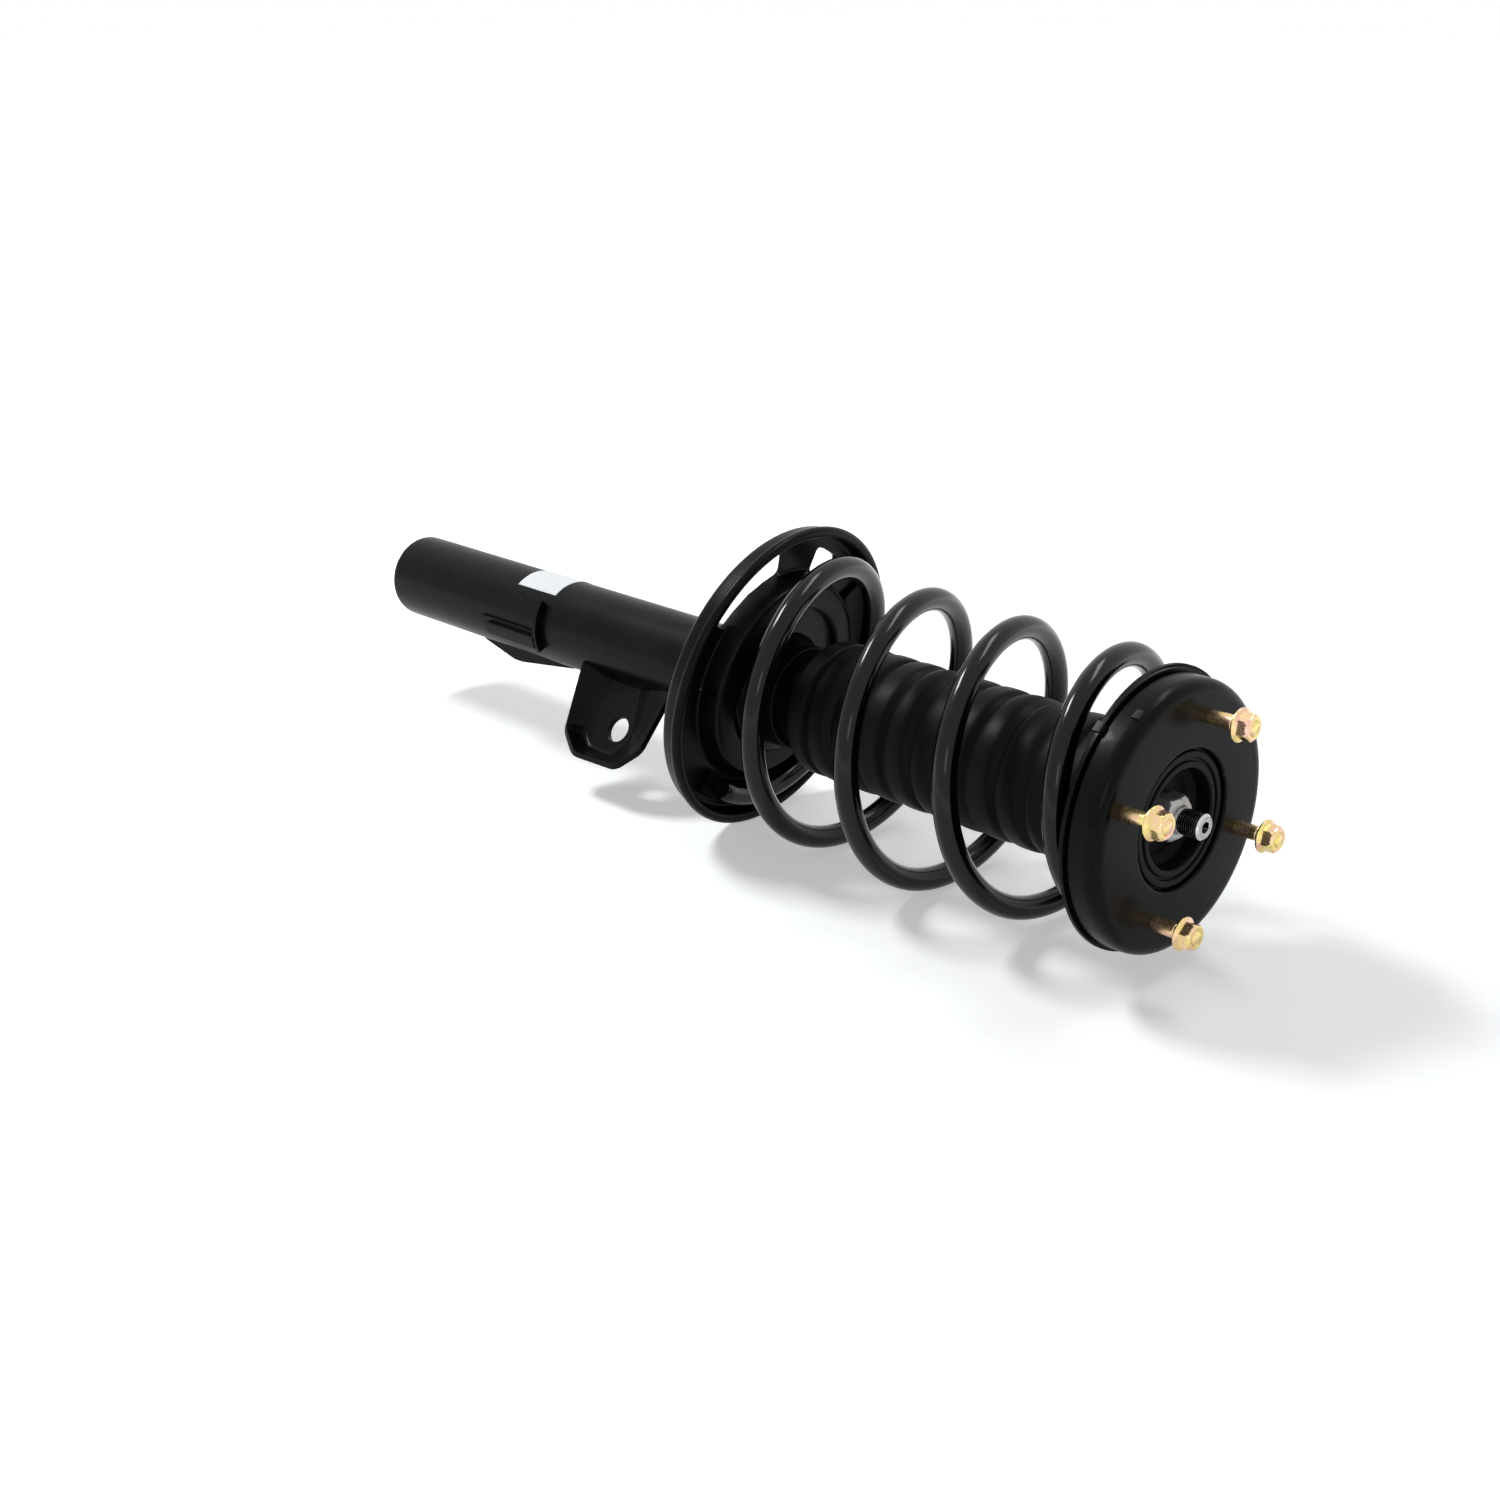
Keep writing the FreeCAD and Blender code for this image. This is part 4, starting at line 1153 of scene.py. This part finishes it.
@dataclass(frozen=True)
class Coil(SubAssembly):
    """Bowed side-load spring."""

    wire: float = 6.6
    low_radius: float = 74.35
    top_radius: float = 67.1
    bulge: float = 5.0
    close: float = 6.3
    close_start: float = 2.9
    close_turns: float = 0.8
    start: float = -0.60
    end: float = 3.92
    ramp_start: float = -0.522
    ramp_end: float = 3.09
    ramp_turns: float = 0.36
    bow: tuple[float, float] = (-10.9, -1.85)
    bow_lean: tuple[float, float] = (-0.057, 0.061)
    top_offset: tuple[float, float] = (6.0, -4.5)
    low_height: float = 351.162
    top_height: float = 604.6
    end_edge: float = 0.9
    end_reach: float = 1.4

    def build(self) -> None:
        """The coil spring, a round wire along its centre line."""
        turns = np.linspace(self.start, self.end, 560)
        line = self.line(turns)
        reach = np.concatenate([[0], np.cumsum(np.linalg.norm(np.diff(line, axis=0), axis=1))])
        end = np.minimum(reach, reach[-1] - reach)
        radii = self.wire - self.end_edge * (1 - np.sqrt(np.clip(end / self.end_reach, 0, 1)))
        wire = swept(line, radii)
        piece = self.maker.piece("spring", wire, Finish.GLOSS_PAINT, Body.STRUT, ["coil_spring"])
        self.maker.squash(piece, self.low_height - self.wire, self.top_height + self.wire)

    def rise(self, turn: np.ndarray) -> np.ndarray:
        """Rise of the spring in pitches.

        Args:
            turn: Turns from the top of the lying strut.

        Returns:
            The rise: level ends with an even climb between them.
        """
        climb = self.ramp_turns * smooth_area((turn - self.ramp_start) / self.ramp_turns)
        level = self.ramp_turns * smooth_area((turn - self.ramp_end) / self.ramp_turns)
        return climb - level

    def line(self, turn: np.ndarray) -> np.ndarray:
        """Centre line of the spring's wire.

        It is a helix that follows rise. Its radius goes from the lower one to the upper one with a bulge
        between and closes at the top, and its centre bows to the side. The lower end leans with the seat.

        Args:
            turn: Turns from the top of the lying strut.

        Returns:
            One point for each of them.
        """
        share = self.rise(turn) / self.rise(np.array(self.end))
        bow = 4 * share * (1 - share)
        height = self.low_height + (self.top_height - self.low_height) * share
        radius = self.low_radius + (self.top_radius - self.low_radius) * share + self.bulge * bow
        radius = radius - self.close * smooth_step((turn - self.close_start) / self.close_turns)
        x = radius * np.cos(2 * math.pi * turn)
        y = radius * np.sin(2 * math.pi * turn)
        level = Seat.axes()[2]
        seated = 1 - smooth_step(share)
        lean_up = -level[0] / level[2] * seated + self.bow_lean[0] * bow
        lean_side = -level[1] / level[2] * seated + self.bow_lean[1] * bow
        centre_up = Seat.centre[0] * (1 - share) + self.top_offset[0] * share + self.bow[0] * bow
        centre_side = Seat.centre[1] * (1 - share) + self.top_offset[1] * share + self.bow[1] * bow
        return np.stack([centre_up + x, centre_side + y, height + lean_up * x + lean_side * y], axis=-1)


@dataclass(frozen=True)
class Boot(SubAssembly):
    """Ribbed dust boot."""

    low: float = 395.0
    fixed: float = 402.0
    top: float = 607.4
    radius: float = 39.6
    valley: float = 4.2
    ribs: int = 9
    ribs_low: float = 409.0
    collar_top: float = 24.0
    wall: float = 2.6
    over_collar: float = 552.0
    collar_clear: float = 36.9
    crest_power: float = 3.4
    crest_middle: float = 0.95
    crest_points: int = 15

    def build(self) -> None:
        """The ribbed dust boot: round crests with narrow grooves between them."""
        low = self.ribs_low
        high = self.top - self.collar_top
        pitch = (high - low) / self.ribs
        collar = self.radius - 1.5
        profile = rounded([(Tube.radius + 0.6, self.low, 0), (collar + 1.0, self.low, 3.5),
                           (collar + 1.0, low - 2.5, 2.0), (self.radius - self.valley, low, 0)])
        for i in range(self.ribs):
            base = low + i * pitch
            for t in np.linspace(0, 1, self.crest_points)[:-1]:
                across = abs(2 * t - self.crest_middle)
                crest = (1 - across**self.crest_power) ** 0.5 if across < 1 else 0.0
                height = float(base + t * pitch)
                radius = self.radius - self.valley * (1 - crest)
                if height > self.over_collar:
                    radius = max(radius, self.collar_clear)
                profile.append((radius, height))
        profile += [(self.collar_clear, high), (collar + 0.6, high + 1.0), (self.radius - 0.2, high + 3.0),
                    (self.radius - 0.2, self.top - 1.5), (self.radius - 1.4, self.top),
                    (self.radius - self.wall, self.top)]
        surface = Surface.turned(profile, segments=128)
        surface.faces = surface.faces[:-2]
        piece = self.maker.piece("boot", surface, Finish.RUBBER, Body.STRUT, ["dust_boot"], sharp=60)
        self.maker.squash(piece, self.fixed, self.top)


@dataclass(frozen=True)
class Damper(SubAssembly):
    """Soft rings on the piston rod."""

    rod: float = 10.0
    bump_length: float = 58.0
    bump_radius: float = 24.0
    bump_waist: float = 19.0
    bump_tip: float = 16.0
    seal_radius: float = 24.9
    seal_high: float = 6.0
    stop_radius: float = 14.0
    stop_top: float = 393.7
    stop_high: float = 12.0

    def build(self) -> None:
        """The foam bump stop, the rod seal and the rebound stop round the piston rod."""
        bore = self.rod + 0.3
        top = Mount.shoulder
        low = top - self.bump_length
        third = self.bump_length / 3
        stop = rounded([
            (bore, low, 0), (self.bump_tip, low, 2), (self.bump_tip + 2, low + third / 2, 6),
            (self.bump_waist - 4, low + third, 3), (self.bump_radius - 2, low + 1.5 * third, 6),
            (self.bump_waist, low + 2 * third, 3), (self.bump_radius, top - third / 2, 5),
            (self.bump_radius, top, 1), (bore, top, 0),
        ])
        seal_low, seal_top = Tube.top - self.seal_high, Tube.top - 0.1
        seal = self.collar_ring(self.rod + 0.05, self.seal_radius, seal_low, seal_top, 0.8)
        stop_low = self.stop_top - self.stop_high
        ring = self.collar_ring(bore - 0.2, self.stop_radius, stop_low, self.stop_top, 2)
        for name, profile, finish, body, node in (
            ("bump_stop_foam", stop, Finish.FOAM, Body.TOP, "bump_stop"),
            ("rod_seal_ring", seal, Finish.RUBBER, Body.STRUT, "rod_seal"),
            ("rebound_ring", ring, Finish.RUBBER, Body.TOP, "rebound_stop"),
        ):
            self.maker.piece(name, Surface.turned(profile, closed=True), finish, body, [node])

    @staticmethod
    def collar_ring(inner: float, outer: float, low: float, high: float, edge: float) -> Profile:
        """Outline of a plain ring with its outer edges rounded.

        Args:
            inner: Radius of its bore.
            outer: Its outer radius.
            low: Height of its lower face.
            high: Height of its upper face.
            edge: Rounding of the outer edges.

        Returns:
            The outline.
        """
        return rounded([(inner, low, 0), (outer, low, edge), (outer, high, edge), (inner, high, 0)])


@dataclass(frozen=True)
class Mount(SubAssembly):
    """Top mount with its studs, nuts and the rod end."""

    face: float = 634.9
    radius: float = 72.0
    sheet: float = 3.0
    bend: float = 11.0
    skirt: float = 618.2
    recess: float = 37.3
    recess_deep: float = 20.0
    cup_hole: float = 31.0
    ring_in: float = 26.5
    rubber_floor: float = 13.5
    sleeve: float = 11.0
    stud_circle: float = 53.4
    stud_count: int = 4
    stud_turn: float = -20.1
    stud_free: float = 16.2
    stud_radius: float = 4.0
    stud_neck: float = 3.55
    stud_pitch: float = 1.25
    stud_thread: float = 0.35
    nut_bore: float = 3.6
    nut_high: float = 8.6
    nut_flats: float = 13.0
    nut_flange: float = 8.9
    stud_tip: float = 0.8
    rod_out: float = 13.1
    thread: float = 6.9
    rod_pitch: float = 1.25
    rod_thread: float = 0.22
    rod_thread_long: float = 12.0
    socket: float = 3.0
    socket_mouth: float = 1.12
    socket_chamfer: float = 0.6
    socket_deep: float = 8.0
    rod_nut_flats: float = 22.0
    rod_nut_high: float = 11.0
    shoulder: float = 605.9
    seat_disc: float = 614.0
    disc_radius: float = 74.0
    disc_sheet: float = 3.0
    plate_notch: float = 29.0
    seat_notch: float = 40.0
    tab_half: float = 2.2
    pad_high: float = 2.5
    thread_steep: float = 1.35
    thread_crest: float = 0.18
    thread_chamfer: float = 1.1

    def build(self) -> None:
        """Builds the mount from the spring outward."""
        self.upper_stack()
        self.plate()
        self.rubber()
        self.rod_end()
        self.studs()

    def upper_stack(self) -> None:
        """The upper rubber pad and the small tabs on the edges of the seat and the plate."""
        top = self.seat_disc
        middle = Coil.top_radius - Coil.close
        inner, outer = middle - Seat.pad_half, middle + Seat.pad_half
        back, face, lip, lip_wide = top - 0.05, top - self.pad_high, top - self.pad_high - 0.5, 1.5
        pad = rounded([(inner, back, 0), (inner, lip, 0.6), (inner + lip_wide, face, 0.5),
                       (outer - lip_wide, face, 0.5), (outer, lip, 0.6), (outer, back, 0)])
        offset = np.array(Coil.top_offset + (0.0,))
        ring = Surface.turned(pad, segments=120, closed=True).moved(lambda p: p + offset)
        self.maker.piece("upper_pad_ring", ring, Finish.RUBBER, Body.UPPER, ["upper_spring_pad"])
        low = self.seat_disc - 1.2
        high = self.seat_disc + self.disc_sheet + 0.6
        inner, outer = self.disc_radius - 2.5, self.disc_radius + 1.0
        self.tab("seat_edge_tab", inner, outer, low, high, self.seat_notch, Body.UPPER)
        low, high = self.face - 9.0, self.face - 4.5
        inner, outer = self.radius - 3.2, self.radius + 0.7
        self.tab("plate_edge_tab", inner, outer, low, high, self.plate_notch, Body.TOP)

    def tab(self, name: str, inner: float, outer: float, low: float, high: float, turn: float,
            body: Body) -> None:
        """A small raised tab on a round edge.

        Args:
            name: Its name.
            inner: Radius where it starts.
            outer: Radius of its outer face.
            low: Height of its lower side.
            high: Height of its upper side.
            turn: Its angle in degrees.
            body: The body that it rides on.
        """
        edge = 0.6
        corners = [(inner, low, 0), (outer, low, edge), (outer, high, edge), (inner, high, 0)]
        around = np.radians(turn + np.linspace(-self.tab_half, self.tab_half, 7))
        self.maker.piece(name, arc_bar(np.array(rounded(corners, steps=3)), around), Finish.PLASTIC, body)

    def plate(self) -> None:
        """The pressed plate of the top mount with its rounded rim."""
        s = self.sheet
        low = self.face - self.recess_deep - s
        profile = rounded([
            (self.cup_hole, low + s, 0), (self.recess, low + s, 1.0), (self.recess, self.face, 1.4),
            (self.radius, self.face, self.bend * 1.5), (self.radius, self.skirt, 0.8),
            (self.radius - s, self.skirt, 0.8), (self.radius - s, self.face - s, self.bend),
            (self.recess + s, self.face - s, 2), (self.recess + s, low, 2), (self.cup_hole, low, 0),
        ], steps=10)
        surface = Surface.turned(profile, segments=144, closed=True)
        self.maker.piece("mount_shell", surface, Finish.SATIN_PAINT, Body.TOP, ["mount_plate"])

    def rubber(self) -> None:
        """The rubber in the recess, with its raised rings and dark pocket."""
        top = self.face - 1.5
        outer = self.recess - 0.1
        floor = self.face - self.rubber_floor
        low = self.face - self.recess_deep
        profile = rounded([
            (self.sleeve, low + 0.2, 0), (outer, low + 0.2, 0.4), (outer, top - 2.5, 0.4),
            (outer - 1.8, top - 2.5, 0.5), (outer - 1.8, top, 0.7), (outer - 5.2, top, 0.7),
            (outer - 5.5, top - 1.4, 0.5), (outer - 7.0, top - 1.4, 0.5), (outer - 7.3, top, 0.7),
            (self.ring_in, top, 1.2), (self.ring_in, floor + 3, 2.0), (self.ring_in - 4, floor, 2.0),
            (self.sleeve, floor, 0),
        ])
        surface = Surface.turned(profile, segments=120, closed=True)
        self.maker.piece("mount_bushing", surface, Finish.RUBBER, Body.TOP, ["mount_rubber"])

    def threaded(self, radius: float, low: float, high: float, pitch: float, depth: float,
                 segments: int = 48) -> Surface:
        """Outside of a threaded bar with a chamfered tip.

        Args:
            radius: Its outer radius.
            low: Where it starts.
            high: Its tip.
            pitch: Rise of the thread per turn.
            depth: Depth of the thread.
            segments: Points on each ring.

        Returns:
            The surface with closed ends.
        """
        heights = np.arange(low, high + 1e-6, pitch / 8)
        profile = [(radius, float(z)) for z in heights] + [(radius, high)]

        def cut_thread(r: np.ndarray, angle: np.ndarray, z: np.ndarray) -> np.ndarray:
            """Radius with a groove that climbs one pitch per turn, and the chamfer.

            Args:
                r: Radius without the thread.
                angle: Angle round the bar.
                z: Height.

            Returns:
                The radius to use.
            """
            phase = np.mod(z / pitch - angle / (2 * math.pi), 1.0)
            wave = np.abs(2 * phase - 1)
            groove = np.clip(self.thread_steep * wave - self.thread_crest, 0, 1) * depth
            fade = smooth_step((z - low) / pitch)
            limit = radius - np.clip(z - (high - self.thread_chamfer), 0, 2)
            return np.minimum(r - groove * fade, limit)

        return Surface.turned(profile, segments=segments, radius_of=cut_thread)

    @staticmethod
    def hex_nut(flats: float, low: float, high: float, bore: float, flange: float = 0.0) -> Surface:
        """Hexagon nut with chamfered corners, on a flange where one is given.

        Args:
            flats: Size across the flats.
            low: Its lower face.
            high: Its upper face.
            bore: Radius of its hole.
            flange: Radius of the flange, or 0.

        Returns:
            The nut with its bore.
        """
        thick = high - low
        corner, rim, edge, foot = flats * 0.60, low + 1.1, high - 0.22 * thick, low + 2.6
        tall = [(bore, low)]
        if flange:
            neck = flats / 2 + 0.5
            tall += rounded([(bore, low, 0), (flange, low, 0.5), (flange, rim, 0.5), (neck, low + 2.4, 0.6),
                             (neck, foot, 0)])[1:]
        else:
            tall += [(flats / 2 - 0.6, low), (flats * 0.5, low + 0.25), (corner, rim)]
        start = foot if flange else rim
        body = [(corner, float(z)) for z in np.linspace(start, edge, 5)]
        top = [(corner, edge), (flats * 0.54, high - 0.12 * thick), (flats * 0.475, high - 0.03 * thick),
               (flats * 0.45, high), (bore + 0.8, high), (bore, high - 0.8)]

        def flatten(r: np.ndarray, angle: np.ndarray, z: np.ndarray) -> np.ndarray:
            """Radius held to the flats, and left round on the flange.

            Args:
                r: Radius without the flats.
                angle: Angle round the nut.
                z: Height.

            Returns:
                The radius to use.
            """
            inside = np.mod(angle + math.pi / 6, math.pi / 3) - math.pi / 6
            wall = flats / 2 / np.cos(inside)
            hexed = np.minimum(r, wall)
            if flange:
                blend = smooth_step((z - (low + 1.4)) / 1.2)
                return np.where(z < low + 2.61, r * (1 - blend) + np.minimum(r, wall) * blend, hexed)
            return hexed

        return Surface.turned(tall + body + top, segments=96, closed=True, radius_of=flatten)

    def rod_end(self) -> None:
        """The threaded end of the piston rod with its socket, and the rod nut."""
        top = self.face + self.rod_out
        ring = 64
        low = self.face - self.rod_thread_long
        bar = self.threaded(self.thread, low, top, self.rod_pitch, self.rod_thread, segments=ring)
        bar.faces = bar.faces[:-1]
        rows = len(bar.points) // ring
        rim = bar.points[(rows - 1) * ring:]
        angle = np.arctan2(rim[:, 1], rim[:, 0])
        inside = np.mod(angle, math.pi / 3) - math.pi / 6
        wall = self.socket / np.cos(inside)
        sizes = ((self.socket_mouth, top), (1.0, top - self.socket_chamfer), (1.0, top - self.socket_deep))
        hexes = [np.stack([wall * wide * np.cos(angle), wall * wide * np.sin(angle), np.full_like(wall, z)],
                          axis=-1) for wide, z in sizes]
        socket = Surface.grid(np.array([rim, *hexes]))
        socket.cap(3, ring, True)
        rod = bar.joined(socket)
        self.maker.piece("rod_thread", rod, Finish.STEEL, Body.TOP)
        low = self.face - self.rod_nut_high - 1.5
        nut = self.hex_nut(self.rod_nut_flats, low, low + self.rod_nut_high, self.thread)
        self.maker.piece("rod_hex_nut", nut, Finish.STEEL, Body.TOP, ["rod_nut"], sharp=30)

    def studs(self) -> None:
        """The studs of the mount, each with its flange nut."""
        nut_low = self.face + self.stud_free
        nut_high = nut_low + self.nut_high
        foot = self.face - 3
        shank = Surface.turned(rounded([
            (0, foot, 0), (self.stud_radius, foot, 0), (self.stud_radius, nut_low - 3.4, 0.3),
            (self.stud_neck, nut_low - 2.6, 0.3), (self.stud_neck, nut_low, 0),
        ]), segments=48)
        tip = nut_high + self.stud_tip
        thread = self.threaded(self.stud_radius, nut_low - 3.0, tip, self.stud_pitch, self.stud_thread)
        stud = shank.joined(thread)
        nut = self.hex_nut(self.nut_flats, nut_low, nut_high, self.nut_bore, self.nut_flange)
        for i in range(self.stud_count):
            angle = math.radians(self.stud_turn + 360.0 * i / self.stud_count)
            at = np.array([self.stud_circle * math.cos(angle), self.stud_circle * math.sin(angle), 0.0])
            twist = 0.4 + 1.7 * i
            c, s = math.cos(twist), math.sin(twist)
            turn = np.array([[c, s, 0], [-s, c, 0], [0, 0, 1]])
            placed = stud.moved(lambda p, at=at: p + at)
            screwed = nut.moved(lambda p, at=at, turn=turn: p @ turn + at)
            self.maker.piece(f"stud_bar_{i + 1}", placed, Finish.ZINC, Body.TOP, [f"stud_{i + 1}"], sharp=50)
            self.maker.piece(f"stud_nut_{i + 1}", screwed, Finish.ZINC, Body.TOP, [f"flange_nut_{i + 1}"],
                             sharp=30)


def dress_nodes(materials: MaterialLibrary, nodes: dict[str, bpy.types.Object],
                subparts: list[dict]) -> None:
    """Gives each CAD node the material of its slot.

    Args:
        materials: The materials.
        nodes: The CAD nodes by name.
        subparts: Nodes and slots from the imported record.
    """
    slots = {f.value: f for f in Finish}
    for part in subparts:
        node = nodes[part["node"]]
        material = materials.get(slots[part["material_slot"]])
        if not node.data.materials:
            node.data.materials.append(material)
        for slot in node.material_slots:
            slot.material = material


class Studio:
    """Floor, lights and camera."""

    CAMERA_AT = (398.190, 820.240, 1170.245)
    CAMERA_RIGHT = (-0.004799, -0.715700, 0.698391)
    CAMERA_DOWN = (-0.935937, 0.249149, 0.248892)
    CAMERA_AHEAD = (-0.352135, -0.652456, -0.671046)
    FLOOR_HALF = 12.0
    GLOW_NEAR = 0.45
    GLOW_FAR = 1.0
    GLOW_LOW = 0.40
    WALL_LIGHT = 0.45
    CEILING_LIGHT = 0.16
    LAMP_COLOUR = (0.93, 0.97, 1.0)
    LAMPS = (
        ("key", (-0.75, -0.35, 1.35), (0.0, 0.0, 0.05), (0.45, 0.28), 16.0),
        ("top", (0.3, 0.7, 1.5), (0.0, 0.0, 0.05), (0.9, 0.3), 6.0),
        ("fill", (1.3, -1.4, 0.8), (0.1, 0.0, 0.05), (0.5, 0.5), 2.0),
    )

    def __init__(self, frame: StrutFrame) -> None:
        """Keeps the strut's frame, in which the camera was solved.

        Args:
            frame: The strut's frame.
        """
        self.frame = frame

    def build(self) -> None:
        """Makes the floor, the lights, the surroundings and the camera."""
        self.floor()
        self.lights()
        self.camera()

    def floor(self) -> None:
        """A plain pale floor that runs out to the horizon."""
        mesh = bpy.data.meshes.new("floor")
        half = self.FLOOR_HALF
        corners = [(-half, -half, 0), (half, -half, 0), (half, half, 0), (-half, half, 0)]
        mesh.from_pydata(corners, [], [(0, 1, 2, 3)])
        floor = add_object("floor", mesh)
        material, make, shader = new_material("studio_floor")
        place = make.add("ShaderNodeTexCoord").outputs["Object"]
        tone = make.blend(make.noise(place, 3.0, 2.0), grey(0.88), grey(0.91))
        away = make.add("ShaderNodeVectorMath", {0: place}, operation="LENGTH").outputs["Value"]
        glow = make.spread(away, self.GLOW_NEAR, self.GLOW_FAR, self.GLOW_LOW, 1.0)
        shown = make.math("MULTIPLY", glow, self.seen_directly(make))
        make.tree.links.new(tone, shader.inputs["Base Color"])
        make.tree.links.new(shown, shader.inputs["Emission Strength"])
        shader.inputs["Emission Color"].default_value = grey(1.0)
        shader.inputs["Roughness"].default_value = 0.7
        shader.inputs["Specular IOR Level"].default_value = 0.15
        mesh.materials.append(material)

    def lights(self) -> None:
        """Soft boxes above and beside the strut, and pale surroundings."""
        world = bpy.data.worlds.new("studio")
        bpy.context.scene.world = world
        world.use_nodes = True
        background = next(n for n in world.node_tree.nodes if n.type == "BACKGROUND")
        make = NodeTree(world.node_tree)
        way = make.add("ShaderNodeTexCoord").outputs["Generated"]
        height = make.add("ShaderNodeSeparateXYZ", {0: way}).outputs["Z"]
        walls = make.spread(height, 0.05, 0.45, self.WALL_LIGHT, self.CEILING_LIGHT)
        level = make.math("MAXIMUM", walls, self.seen_directly(make))
        background.inputs["Color"].default_value = grey(1.0)
        make.tree.links.new(level, background.inputs["Strength"])
        for lamp in self.LAMPS:
            self.soft_box(*lamp)

    @staticmethod
    def seen_directly(make: NodeTree) -> bpy.types.NodeSocket:
        """1 for rays from the camera and for reflected or refracted ones, else 0.

        Args:
            make: Builder of the material.

        Returns:
            The mask.
        """
        path = make.add("ShaderNodeLightPath")
        seen = make.math("MAXIMUM", path.outputs["Is Camera Ray"], path.outputs["Is Glossy Ray"])
        return make.math("MAXIMUM", seen, path.outputs["Is Transmission Ray"])

    def soft_box(self, name: str, at: Sequence[float], aim: Sequence[float], size: tuple[float, float],
                 power: float) -> None:
        """One rectangular area light.

        Args:
            name: Its name.
            at: Where it stands.
            aim: The point that it faces.
            size: Its width and height.
            power: Its power in watts.
        """
        data = bpy.data.lights.new(name, "AREA")
        data.shape = "RECTANGLE"
        data.size, data.size_y = size
        data.energy = power
        data.color = self.LAMP_COLOUR
        light = add_object(name, data)
        light.location = at
        light.rotation_mode = "QUATERNION"
        light.rotation_quaternion = (Vector(aim) - Vector(at)).to_track_quat("-Z", "Y")

    def camera(self) -> None:
        """The camera, as solved from the photograph: a 50 mm lens on a 36 mm square sensor."""
        data = bpy.data.cameras.new("camera")
        data.lens = 50.0
        data.sensor_width = 36.0
        data.sensor_fit = "HORIZONTAL"
        data.clip_start, data.clip_end = 0.05, 60.0
        camera = add_object("camera", data)
        right = self.frame.direction(self.CAMERA_RIGHT)
        up = -self.frame.direction(self.CAMERA_DOWN)
        back = -self.frame.direction(self.CAMERA_AHEAD)
        turn = Matrix((right, up, back)).transposed().to_4x4()
        turn.translation = Vector(self.frame.world(np.array(self.CAMERA_AT)))
        camera.matrix_world = turn
        bpy.context.scene.camera = camera


def set_colours() -> None:
    """Plain colour management."""
    bpy.context.scene.view_settings.view_transform = "Standard"


def main() -> None:
    """Builds the scene."""
    logging.basicConfig(level=logging.INFO, format="%(name)s: %(message)s")
    for old in list(bpy.data.objects):
        bpy.data.objects.remove(old)
    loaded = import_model()
    frame = StrutFrame(loaded["record"])
    materials = MaterialLibrary()
    maker = PieceMaker(frame, materials)
    dress_nodes(materials, loaded["nodes"], loaded["record"]["subparts"])
    for group in (Tube, LinkBracket, Seat, Coil, Boot, Damper, Mount):
        group(maker).build()
    Studio(frame).build()
    set_colours()


if __name__ == "__main__":
    main()
